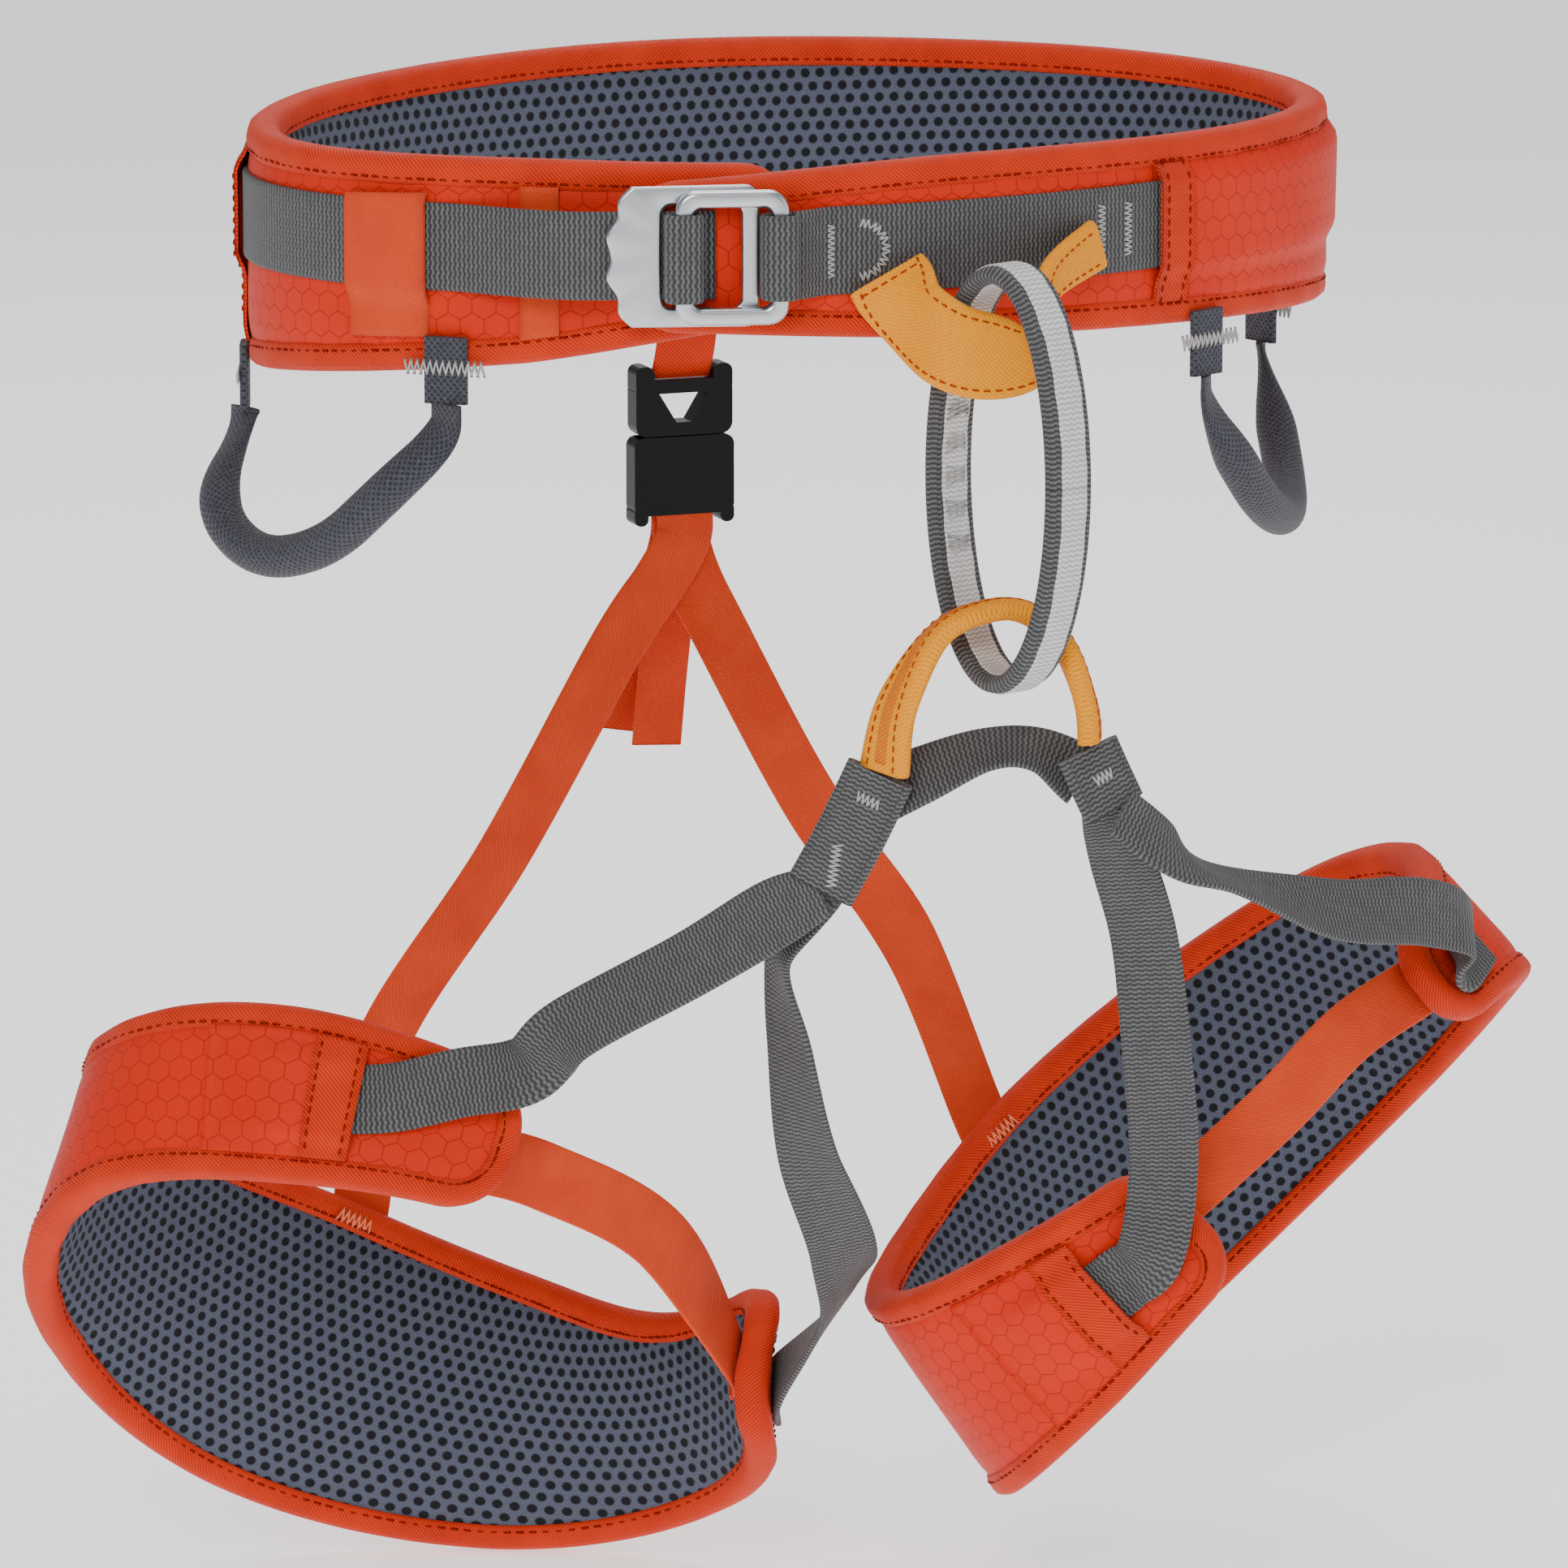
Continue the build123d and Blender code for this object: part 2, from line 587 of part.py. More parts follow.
with BuildPart() as rear_buckle_male:
    with BuildSketch(rear_plane.offset(-half_thick)):
        with Locations((0, (rear_male_top + male_bottom) / 2)):
            RectangleRounded(rear_buckle_width - 1, rear_male_height, 3.5)
        shoulder = half_width - 0.5 - shoulder_width / 2
        with Locations((shoulder, rear_male_top), (-shoulder, rear_male_top)):
            RectangleRounded(shoulder_width, shoulder_width + 3, 2.5)
        # window that narrows downwards, so the middle of the top edge is a bar
        window_top = rear_male_top - rear_bar
        with BuildLine():
            Polyline((-8, window_top), (8, window_top), (2.5, window_top - 9), (-2.5, window_top - 9),
                     close=True)
        make_face(mode=Mode.SUBTRACT)
    extrude(amount=rear_buckle_thickness)
    with BuildSketch(rear_plane.offset(-1.6)):
        with Locations((0, male_bottom - prong_length / 2)):
            Rectangle(4, prong_length)
    extrude(amount=3.2)
keep(rear_buckle_male, "rear_buckle_male")

prong_side = half_width - 6.5
for side, sign in (("right", 1), ("left", -1)):
    with BuildPart() as prong:
        with BuildSketch(rear_plane.offset(-1.8)):
            with Locations((sign * prong_side, male_bottom - rear_buckle_gap - prong_length / 2)):
                RectangleRounded(prong_width, prong_length, 1.2)
            with Locations((sign * (prong_side + 1.6), male_bottom - prong_length + 2.5)):
                RectangleRounded(prong_width + 1.6, 4.5, 1.2)
        extrude(amount=3.6)
    keep(prong, f"rear_buckle_{side}_prong")

with BuildPart() as rear_buckle_female:
    with BuildSketch(rear_plane.offset(-half_thick)):
        with Locations((0, (female_top + female_bottom) / 2)):
            RectangleRounded(rear_buckle_width, rear_female_height, 3)
        ear = half_width - ear_width / 2
        with Locations((ear, female_bottom), (-ear, female_bottom)):
            RectangleRounded(ear_width, ear_height, 2)
    extrude(amount=rear_buckle_thickness)
    cavity_depth = prong_length + 2.0
    with BuildSketch(rear_plane.offset(-half_thick + 1.5)):
        with Locations((0, female_top - cavity_depth / 2 + 1)):
            Rectangle(rear_buckle_width - 3.4, cavity_depth + 2)
    extrude(amount=rear_buckle_thickness - 3, mode=Mode.SUBTRACT)
keep(rear_buckle_female, "rear_buckle_female")

# ---- leg loops ----

right_leg = (right_leg_plane, right_leg_half_length, right_leg_half_depth, right_leg_band)
left_leg = (left_leg_plane, left_leg_half_length, left_leg_half_depth, left_leg_band)
strap_lift = binding_half + cloth_gap + leg_webbing_thickness / 2 + 0.4
strap_neck = 15.0              # width of a strap's folded end below its sewn joint

for side, leg in (("right", right_leg), ("left", left_leg)):
    layers(leg_band(leg), f"{side}_leg")


def leg_face(leg, angle):
    point, across, along, width = leg_station(leg, angle)
    return along.cross(across)


def on_leg(leg, angle, height, lift=strap_lift):
    return (leg_point(leg, angle, height, lift), leg_face(leg, angle))


def strap(name, route, width, thickness, start_width=0):
    widths = [start_width or width] + [width] * (len(route) - 1)
    with BuildPart() as webbing:
        loft(slab(free_strap(route, widths), -thickness / 2, thickness / 2), ruled=True)
    keep(webbing, name)


strap("right_leg_outer_strap",
      [((-41.5, -115, -187), view_face), ((-50, -105, -193), (-0.4, -0.85, 0.35)),
       ((-68, -86, -210), (-0.35, -0.8, 0.5)), ((-94, -62, -231), (-0.3, -0.8, 0.5)),
       on_leg(right_leg, 257, 20, strap_lift + 6), on_leg(right_leg, 249, 12, strap_lift + 2.8),
       on_leg(right_leg, 240, 3)],
      leg_webbing_width, leg_webbing_thickness, strap_neck)
strap("right_leg_inner_strap",
      [((-38.5, -109.5, -187), view_face), ((-44, -95, -205), (-0.95, 0.1, 0.0)),
       ((-38, -90, -237), (-0.95, -0.3, 0.1)), ((-28, -80, -271), (-0.75, -0.65, 0.1)),
       ((-10, -65, -305), (-0.35, -0.93, 0.1)), ((-2, -42, -328), (0.5, -0.85, 0.0)),
       on_leg(right_leg, -24, -6, strap_lift + 1.5), on_leg(right_leg, -14, -6, strap_lift + 0.5)],
      leg_webbing_width, leg_webbing_thickness, strap_neck)
strap("left_leg_inner_strap",
      [((33, -150.5, -161.5), (-0.4, -0.9, 0.1)), ((41, -144, -178), (-0.7, -0.7, 0.1)),
       ((51, -138, -203), (-0.65, -0.75, 0.1)), ((57, -134, -236), (-0.5, -0.85, 0.05)),
       ((64, -125, -272), (-0.4, -0.9, 0.0)), on_leg(left_leg, 253, 2, strap_lift + 3.5),
       on_leg(left_leg, 246, 0)],
      leg_webbing_width, leg_webbing_thickness, strap_neck)
strap("left_leg_outer_strap",
      [((34.5, -158.5, -161.5), (0.3, -0.9, 0.2)), ((48, -159, -172), (0.3, -0.7, 0.65)),
       ((67, -154, -183), (-0.1, -0.3, 0.95)), ((108, -143, -198), (-0.3, -0.75, 0.6)),
       ((143, -132, -204), (-0.1, -0.9, 0.3)), ((163, -124, -212), (0.7, -0.6, 0.3)),
       on_leg(left_leg, -34, 0, strap_lift + 1), on_leg(left_leg, -24, 0)],
      leg_webbing_width, leg_webbing_thickness, strap_neck)

elastic_rest = -(binding_half + 6 * cloth_gap + elastic_thickness / 2)
strap("right_leg_elastic",
      [on_leg(right_leg, 250, -4, elastic_rest), on_leg(right_leg, 256, -4, elastic_rest),
       ((-90, -32, -282), (-0.2, -0.9, 0.2)), ((-52, -26, -305), (-0.1, -0.95, 0.3)),
       on_leg(right_leg, -27, -2, elastic_rest), on_leg(right_leg, -21, -2, elastic_rest)],
      elastic_width, elastic_thickness)
strap("left_leg_elastic",
      [on_leg(left_leg, 252, 4, elastic_rest), on_leg(left_leg, 258, 4, elastic_rest),
       ((106, -112, -264), (0.0, -0.9, 0.4)), ((130, -112, -243), (0.0, -0.9, 0.4)),
       on_leg(left_leg, -38, 0, elastic_rest), on_leg(left_leg, -33, 0, elastic_rest)],
      elastic_width * 0.9, elastic_thickness)


def leg_patch(name, leg, first, last, height, width, low, thickness):
    """A short tape lying on a pad between two angles."""
    with BuildPart() as patch:
        stations = []
        for i in range(3):
            point, across, along, full = leg_station(leg, first + (last - first) * i / 2)
            stations.append((point + across * height, across, along, width))
        loft(slab(stations, low, low + thickness), ruled=True)
    keep(patch, name)


for side, leg, angle in (("right", right_leg, tunnel_angle_right), ("left", left_leg, tunnel_angle_left)):
    leg_patch(f"{side}_leg_tunnel_hem", leg, angle - 9, angle - 1, 0, 32, pad_half + 0.4, 1.2)

# ---- risers between the rear buckle and the leg loops, and their tails ----

riser_lift = binding_half + 3 * cloth_gap + elastic_thickness / 2
out_of_belt = rear_plane.z_dir
right_rise = smooth_at(right_leg_band, riser_angle_right)[0] / 2
left_rise = smooth_at(left_leg_band, riser_angle_left)[0] / 2
riser_pitch = 2.5              # straps lie this far apart where they leave the buckle


def from_buckle(layer):
    """The first points of a strap that leaves the buckle's lower end, straight down."""
    out = (layer - 1.2) * riser_pitch
    return [(rear_plane.from_local_coords(Vector(0, female_bottom - drop, out)), out_of_belt)
            for drop in (2.5, 8)]


strap("right_riser",
      from_buckle(0) + [((9, 112, -137), (0.1, 0.99, 0.05)), ((-6, 112, -157), (0.1, 0.99, 0.1)),
                        ((-45, 108, -217), (0.1, 0.98, 0.2)),
                        ((-88, 102, -272), (0.1, 0.98, 0.2)),
                        on_leg(right_leg, riser_angle_right, right_rise - 2, riser_lift + 1),
                        on_leg(right_leg, riser_angle_right + 1, right_rise - 16, riser_lift)],
      riser_width, elastic_thickness)
strap("left_riser",
      from_buckle(1) + [((20, 114, -137), (0.1, 0.98, 0.1)), ((27, 110.5, -153), (0.0, 0.98, 0.2)),
                        ((47, 86, -204), (-0.1, 0.9, 0.4)),
                        ((66, 56, -243), (-0.1, 0.85, 0.5)),
                        on_leg(left_leg, riser_angle_left, left_rise - 2, riser_lift + 1),
                        on_leg(left_leg, riser_angle_left + 1, left_rise - 16, riser_lift)],
      riser_width, elastic_thickness)
strap("right_riser_tail",
      from_buckle(2) + [((16.3, 119, -135), out_of_belt), ((16.5, 123.5, -150), out_of_belt),
                        ((16, 128, -172), out_of_belt), ((15, 130, -192), out_of_belt)],
      riser_width - 2, elastic_thickness)
strap("left_riser_tail",
      from_buckle(3) + [((15.5, 122.5, -135), out_of_belt), ((13, 129.5, -150), out_of_belt),
                        ((9, 135.5, -170), out_of_belt), ((6, 138, -188), out_of_belt)],
      riser_width - 2, elastic_thickness)
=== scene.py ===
import bpy
import numpy as np
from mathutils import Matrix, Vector


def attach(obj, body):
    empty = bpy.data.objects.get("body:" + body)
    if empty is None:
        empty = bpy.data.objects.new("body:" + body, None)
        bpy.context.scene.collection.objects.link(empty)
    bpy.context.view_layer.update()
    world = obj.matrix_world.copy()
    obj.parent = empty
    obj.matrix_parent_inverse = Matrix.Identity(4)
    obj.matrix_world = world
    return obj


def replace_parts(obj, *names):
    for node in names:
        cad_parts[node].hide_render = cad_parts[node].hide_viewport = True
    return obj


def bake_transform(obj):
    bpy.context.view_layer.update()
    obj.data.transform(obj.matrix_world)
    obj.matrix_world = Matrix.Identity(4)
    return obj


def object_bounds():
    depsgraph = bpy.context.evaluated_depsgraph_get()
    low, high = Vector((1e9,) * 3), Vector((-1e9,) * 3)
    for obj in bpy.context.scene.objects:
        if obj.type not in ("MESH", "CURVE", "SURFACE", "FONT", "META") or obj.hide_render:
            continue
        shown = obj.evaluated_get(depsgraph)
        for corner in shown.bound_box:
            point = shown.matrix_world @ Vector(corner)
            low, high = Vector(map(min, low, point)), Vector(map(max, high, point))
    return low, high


# Climbing harness. Sizes are in millimetres and become metres where a mesh is made.
# +Z is up, the wearer faces -Y, and the wearer's right leg is at -X.

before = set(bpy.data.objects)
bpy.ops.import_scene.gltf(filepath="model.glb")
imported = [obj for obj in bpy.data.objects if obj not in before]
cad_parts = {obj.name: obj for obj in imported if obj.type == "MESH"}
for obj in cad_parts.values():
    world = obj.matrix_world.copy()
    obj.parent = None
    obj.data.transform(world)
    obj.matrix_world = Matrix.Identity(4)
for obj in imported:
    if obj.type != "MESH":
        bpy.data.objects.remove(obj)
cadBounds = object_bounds()
metre = 0.001
upwards = np.array([0.0, 0.0, 1.0])
print("frame loaded")


# Shader maths: a number socket with ordinary arithmetic.
class Value:
    def __init__(self, tree, source):
        self.tree, self.source = tree, source

    def op(self, kind, *entries):
        node = self.tree.nodes.new("ShaderNodeMath")
        node.operation = kind
        for socket, entry in zip(node.inputs, entries):
            if isinstance(entry, Value):
                self.tree.links.new(entry.source, socket)
            else:
                socket.default_value = entry
        return Value(self.tree, node.outputs[0])

    def __add__(self, other):
        return self.op("ADD", self, other)

    def __sub__(self, other):
        return self.op("SUBTRACT", self, other)

    def __rsub__(self, other):
        return self.op("SUBTRACT", other, self)

    def __mul__(self, other):
        return self.op("MULTIPLY", self, other)

    def __truediv__(self, other):
        return self.op("DIVIDE", self, other)

    def __mod__(self, other):
        return self.op("FLOORED_MODULO", self, other)

    def __pow__(self, other):
        return self.op("POWER", self, other)

    def __lt__(self, other):
        return self.op("LESS_THAN", self, other)

    def __abs__(self):
        return self.op("ABSOLUTE", self)

    __radd__, __rmul__ = __add__, __mul__

    def wave(self, pitch):
        # 0 to 1 and back once in each pitch
        return self.op("SINE", self * (2 * np.pi / pitch)) * 0.5 + 0.5

    def larger(self, other):
        return self.op("MAXIMUM", self, other)

    def ramp(self, low, high):
        share = (self - low) / (high - low)
        share.source.node.use_clamp = True
        return share * share * (3 - 2 * share)


class Shader:
    def __init__(self, name, roughness, metallic=0.0, sheen=0.0):
        self.material = bpy.data.materials.new(name)
        self.material.use_nodes = True
        self.tree = self.material.node_tree
        self.surface = self.tree.nodes["Principled BSDF"]
        self.surface.inputs["Roughness"].default_value = roughness
        self.surface.inputs["Metallic"].default_value = metallic
        self.surface.inputs["Specular IOR Level"].default_value = 0.5 if metallic else 0.15
        self.surface.inputs["Sheen Weight"].default_value = sheen * 0.3

    # one node of any other type: its inputs are values, Values or sockets
    def node(self, kind, inputs=(), **settings):
        made = self.tree.nodes.new(kind)
        for key, entry in settings.items():
            setattr(made, key, entry)
        for key, entry in dict(inputs).items():
            if isinstance(entry, Value):
                entry = entry.source
            if isinstance(entry, bpy.types.NodeSocket):
                self.tree.links.new(entry, made.inputs[key])
            else:
                made.inputs[key].default_value = entry
        return made

    # millimetres along and across the fabric
    def weave(self):
        place = self.node("ShaderNodeUVMap", uv_map="weave")
        parts = self.node("ShaderNodeSeparateXYZ", {0: place.outputs[0]})
        return Value(self.tree, parts.outputs[0]), Value(self.tree, parts.outputs[1])

    def noise(self, size, detail=2.0):
        place = self.node("ShaderNodeTexCoord")
        inputs = {"Vector": place.outputs["Object"], "Scale": 1000 / size, "Detail": detail}
        return Value(self.tree, self.node("ShaderNodeTexNoise", inputs).outputs[0])

    def mix(self, share, first, second):
        inputs = {0: share, 6: first, 7: second}
        return self.node("ShaderNodeMix", inputs, data_type="RGBA").outputs[2]

    def finish(self, colour, height=None, depth=0.3):
        if isinstance(colour, bpy.types.NodeSocket):
            self.tree.links.new(colour, self.surface.inputs["Base Color"])
        else:
            self.surface.inputs["Base Color"].default_value = colour
        if height is not None:
            bump = self.node("ShaderNodeBump", {"Height": height, "Distance": depth * metre, "Strength": 1.0})
            self.tree.links.new(bump.outputs[0], self.surface.inputs["Normal"])
        return self.material


def colour(red, green, blue):
    return (red, green, blue, 1.0)


# Distance from the middle of the nearest cell of a honeycomb: round, and to the cell's sides.
def honeycomb(along, across, size):
    root = 3 ** 0.5
    x, y = along / size, across / size
    ax, ay = abs(x % 1.0 - 0.5), abs(y % root - root / 2)
    bx, by = abs((x - 0.5) % 1.0 - 0.5), abs((y - root / 2) % root - root / 2)
    first = (ax * ax + ay * ay) < (bx * bx + by * by)
    x, y = bx + first * (ax - bx), by + first * (ay - by)
    return (x * x + y * y) ** 0.5, x.larger(x * 0.5 + y * (root / 2))


# dark also gives painted shade in the sunk honeycomb lines
shellFinish = {"cell": 6.8, "line": 0.05, "base": colour(0.60, 0.012, 0.0), "dark": colour(0.30, 0.004, 0.0),
               "light": colour(0.78, 0.030, 0.001)}


def shellFabric():
    made = Shader("shellRipstop", 0.55, sheen=0.1)
    along, across = made.weave()
    centre, side = honeycomb(along, across, shellFinish["cell"])
    line = side.ramp(0.5 - shellFinish["line"], 0.5)
    thread = along.wave(0.7) * across.wave(0.7)
    base = made.mix(made.noise(30), shellFinish["base"], shellFinish["light"])
    base = made.mix(thread * 0.25, base, shellFinish["dark"])
    # painted shade: the sunk honeycomb lines are darkened as well as lowered
    base = made.mix(line * 0.5, base, shellFinish["dark"])
    return made.finish(base, (1 - line) + thread * 0.5, 0.13)


# light is a painted highlight on the raised yarn, and dark is painted shade in the holes
meshFinish = {"cell": 4.6, "hole": 0.30, "yarn": colour(0.075, 0.088, 0.13),
              "light": colour(0.16, 0.18, 0.24), "dark": colour(0.008, 0.009, 0.013)}


def spacerMesh():
    made = Shader("spacerMesh", 0.7, sheen=0.2)
    along, across = made.weave()
    centre, side = honeycomb(along, across, meshFinish["cell"])
    hole = 1 - centre.ramp(meshFinish["hole"] - 0.07, meshFinish["hole"] + 0.05)
    yarn = (along + across).wave(0.9) * (along - across).wave(0.9)
    # painted highlight: the raised yarn is mixed towards the light colour
    base = made.mix(yarn, meshFinish["yarn"], meshFinish["light"])
    # painted shade: the holes are painted near black
    base = made.mix(hole, base, meshFinish["dark"])
    return made.finish(base, (1 - hole) + yarn * 0.25, 0.7)


# Diagonal twill: lines across the tape at an angle, broken by finer threads.
def twill(name, dark, light, pitch, slope=1.0, depth=0.18):
    made = Shader(name, 0.62, sheen=0.15)
    along, across = made.weave()
    line = (along + across * slope).wave(pitch)
    thread = (along - across * slope).wave(pitch * 0.45)
    height = line * 0.75 + line * thread * 0.25
    # painted light and random tone: raised lines lighter, grooves darker, with noise for tone
    paintedLightAndTone = height * 0.75 + made.noise(14) * 0.5 - 0.1
    return made.finish(made.mix(paintedLightAndTone, dark, light), height, depth)


# light is a painted highlight on the ribs, and dark is painted shade between them
webbingFinish = {"rib": 1.45, "column": 1.3, "dark": colour(0.035, 0.036, 0.038),
                 "light": colour(0.17, 0.17, 0.175)}


# Ribs run across the webbing, and each is broken into small stitches.
def webbingFabric(name, dark, light):
    made = Shader(name, 0.5, sheen=0.2)
    along, across = made.weave()
    column = across.wave(webbingFinish["column"] * 2)
    rib = (along + (column < 0.5) * webbingFinish["rib"] * 0.22).wave(webbingFinish["rib"])
    height = rib * (0.7 + 0.3 * across.wave(webbingFinish["column"]))
    # painted light and random tone: rib tops lighter, troughs darker, with noise for tone
    paintedLightAndTone = height * (0.6 + made.noise(3.0) * 0.8)
    return made.finish(made.mix(paintedLightAndTone, dark, light), height, 0.42)


def plainWeave(name, dark, light, pitch, depth=0.25):
    made = Shader(name, 0.6, sheen=0.1)
    along, across = made.weave()
    check = (along.wave(pitch) - 0.5) * (across.wave(pitch) - 0.5) * 2 + 0.5
    # painted light and random tone: raised checks lighter, hollows darker, with noise for tone
    paintedLightAndTone = check * 0.7 + made.noise(1.6) * 0.45
    return made.finish(made.mix(paintedLightAndTone, dark, light), check, depth)


def braidFabric():
    made = Shader("gearLoopBraid", 0.55, sheen=0.3)
    along, across = made.weave()
    first = (along + across * 1.1).wave(2.1)
    second = (along - across * 1.1).wave(2.1)
    height = first.larger(second)
    # painted light and random tone: raised strands lighter, hollows darker, scaled by noise
    paintedLightAndTone = height * 0.6 * (made.noise(1.2) * 1.6)
    return made.finish(made.mix(paintedLightAndTone, colour(0.018, 0.019, 0.026), colour(0.12, 0.12, 0.15)), height, 0.4)


def plainFinish(name, base, roughness, metallic=0.0, grain=0.0):
    made = Shader(name, roughness, metallic)
    return made.finish(base, made.noise(0.5) if grain else None, grain)


shellCloth = shellFabric()
meshCloth = spacerMesh()
# in each woven cloth below, the first colour is painted shade for the hollows and the second painted highlight for
# the raised threads
bindingCloth = twill("bindingTwill", colour(0.42, 0.010, 0.0), colour(0.86, 0.050, 0.002), 1.25)
coralCloth = twill("coralElastic", colour(0.52, 0.022, 0.003), colour(0.95, 0.105, 0.022), 1.05, 1.3)
greyWebbing = webbingFabric("greyWebbing", webbingFinish["dark"], webbingFinish["light"])
whiteCloth = webbingFabric("whiteStripe", colour(0.45, 0.45, 0.45), colour(0.93, 0.93, 0.92))
sleeveCloth = plainWeave("tieInSleeve", colour(0.8, 0.19, 0.0), colour(1.0, 0.42, 0.0), 1.35)
sleeveSeam = plainWeave("tieInSeam", colour(0.50, 0.09, 0.002), colour(0.85, 0.24, 0.006), 1.35)
braidCloth = braidFabric()
tackThread = plainFinish("barTackThread", colour(0.42, 0.42, 0.41), 0.6)
orangeThread = plainFinish("orangeThread", colour(0.22, 0.006, 0.001), 0.6)
salmonThread = plainFinish("salmonThread", colour(0.95, 0.25, 0.12), 0.6)
amberThread = plainFinish("amberThread", colour(0.38, 0.035, 0.0), 0.6)
darkThread = plainFinish("darkThread", colour(0.09, 0.09, 0.09), 0.6)
satinSteel = plainFinish("satinSteel", colour(0.60, 0.62, 0.65), 0.30, 1.0, 0.02)
blackPlastic = plainFinish("blackPlastic", colour(0.008, 0.008, 0.009), 0.4)
print("materials made")


# Quads of a grid of points, rows by columns; either way round may close on itself.
def gridQuads(rows, columns, closeColumns=False, closeRows=False):
    i, j = np.meshgrid(np.arange(rows - (not closeRows)), np.arange(columns - (not closeColumns)),
                       indexing="ij")
    down, right = (i + 1) % rows, (j + 1) % columns
    corners = [i * columns + j, i * columns + right, down * columns + right, down * columns + j]
    return np.stack(corners, -1).reshape(-1, 4)


# The two end faces of a grid of closed rings.
def ringCaps(count, ring):
    return [list(range(ring)), list(range((count - 1) * ring, count * ring))[::-1]]


# A closed mesh from points in millimetres. Faces are turned outwards by the sign of their volume.
def makeMesh(name, points, quads, caps, material, body, uv=None, faceMaterial=None):
    points = np.asarray(points, float).reshape(-1, 3)
    fans = [[cap[0], b, c] for cap in caps for b, c in zip(cap[1:], cap[2:])]
    triangles = np.concatenate([quads[:, :3], quads[:, [0, 2, 3]]] + ([np.array(fans)] if fans else []))
    a, b, c = (points[triangles[:, k]] for k in range(3))
    faces = quads.tolist() + [list(cap) for cap in caps]
    if np.einsum("ij,ij->i", a, np.cross(b, c)).sum() < 0:
        faces = [face[::-1] for face in faces]
    mesh = bpy.data.meshes.new(name)
    mesh.from_pydata((points * metre).tolist(), [], faces)
    for entry in material if isinstance(material, list) else [material]:
        mesh.materials.append(entry)
    mesh.polygons.foreach_set("use_smooth", np.ones(len(faces), bool))
    if faceMaterial is not None:
        slots = np.append(faceMaterial, np.zeros(len(caps), int)).astype(np.int32)
        mesh.polygons.foreach_set("material_index", slots)
    if uv is not None:
        corners = np.zeros(len(mesh.loops), np.int32)
        mesh.loops.foreach_get("vertex_index", corners)
        layer = mesh.uv_layers.new(name="weave")
        layer.data.foreach_set("uv", np.asarray(uv, float).reshape(-1, 2)[corners].ravel())
    made = bpy.data.objects.new(name, mesh)
    bpy.context.scene.collection.objects.link(made)
    if body:
        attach(made, body)
    return made


def unit(rows):
    return rows / np.maximum(np.linalg.norm(rows, axis=-1, keepdims=True), 1e-9)


def distances(points):
    return np.concatenate([[0], np.cumsum(np.linalg.norm(np.diff(points, axis=0), axis=1))])


# A smooth line through rows of numbers: a cubic through each pair, shaped by the rows beside it.
def smooth(rows, places):
    rows = np.asarray(rows, float)
    last = len(rows) - 1
    i = np.minimum(np.asarray(places).astype(int), last - 1)
    f = (places - i)[:, None]
    a, b, c, d = rows[np.maximum(i - 1, 0)], rows[i], rows[i + 1], rows[np.minimum(i + 2, last)]
    return b + 0.5 * f * (c - a + f * (2 * a - 5 * b + 4 * c - d + f * (3 * (b - c) + d - a)))


# The same, where the first number of each row is an angle and the rows are uneven.
def smoothAt(rows, angles):
    rows = np.asarray(rows, float)
    return smooth(rows[:, 1:], np.interp(angles, rows[:, 0], np.arange(len(rows))))


def softStep(low, high, values):
    share = np.clip((values - low) / (high - low), 0, 1)
    return share * share * (3 - 2 * share)


# Many small raised stitches: middle, direction and outward direction of each.
def stitchMesh(name, rows, length, width, height, material, body):
    middles, ways, outs = (np.concatenate([row[k] for row in rows]) for k in range(3))
    ways = unit(ways - outs * np.einsum("ij,ij->i", ways, outs)[:, None])
    sides = np.cross(outs, ways)
    u, v = np.meshgrid(np.linspace(-1, 1, 5), np.linspace(-1, 1, 5), indexing="ij")
    rise = np.sqrt(np.clip(1 - u ** 2, 0, 1)) * np.sqrt(np.clip(1 - v ** 2, 0, 1)) * 1.3 - 0.3
    u, v, rise = (part.ravel() for part in (u, v, rise))
    points = (middles[:, None] + ways[:, None] * (u * length / 2)[:, None]
              + sides[:, None] * (v * width / 2)[:, None] + outs[:, None] * (rise * height)[:, None])
    quads = gridQuads(5, 5)
    rim = np.array([0, 1, 2, 3, 4, 9, 14, 19, 24, 23, 22, 21, 20, 15, 10, 5])
    start = np.arange(len(middles))[:, None, None] * 25
    quads = (quads[None] + start).reshape(-1, 4)
    caps = (rim[None, ::-1] + start[:, :, 0]).tolist()
    return makeMesh(name, points, quads, caps, material, body)


# Threads of a bar tack: close stitches lying across its length, each leaning a little.
def barTack(middle, way, out, length, width, pitch=0.75):
    way, out = unit(np.asarray(way, float)), unit(np.asarray(out, float))
    count = int(length / pitch)
    steps = (np.arange(count) - (count - 1) / 2) * pitch
    side = np.cross(out, way)
    lean = np.where(np.arange(count) % 2, 0.28, -0.28)[:, None]
    ways = side + way * lean
    middles = np.asarray(middle, float) + way * steps[:, None]
    return middles, ways, np.tile(out, (count, 1)), width


def tackMesh(name, tacks, material, body):
    width = max(tack[3] for tack in tacks)
    return stitchMesh(name, [tack[:3] for tack in tacks], width, 0.72, 0.55, material, body)


# Stations of a strap: middles, directions across, outward directions, widths.
def routeStations(route, widths, steps=14):
    rows = np.array([list(point) + list(face) for point, face in route], float)
    places = np.linspace(0, len(rows) - 1, (len(rows) - 1) * steps + 1)
    line = smooth(rows, places)
    middles, faces = line[:, :3], line[:, 3:]
    ways = unit(np.gradient(middles, axis=0))
    across = unit(np.cross(faces, ways))
    widths = np.asarray(widths, float)
    if widths.ndim == 0:
        widths = np.full(len(rows), float(widths))
    wide = smooth(widths[:, None], places * (len(widths) - 1) / (len(rows) - 1))[:, 0]
    return middles, across, np.cross(ways, across), wide


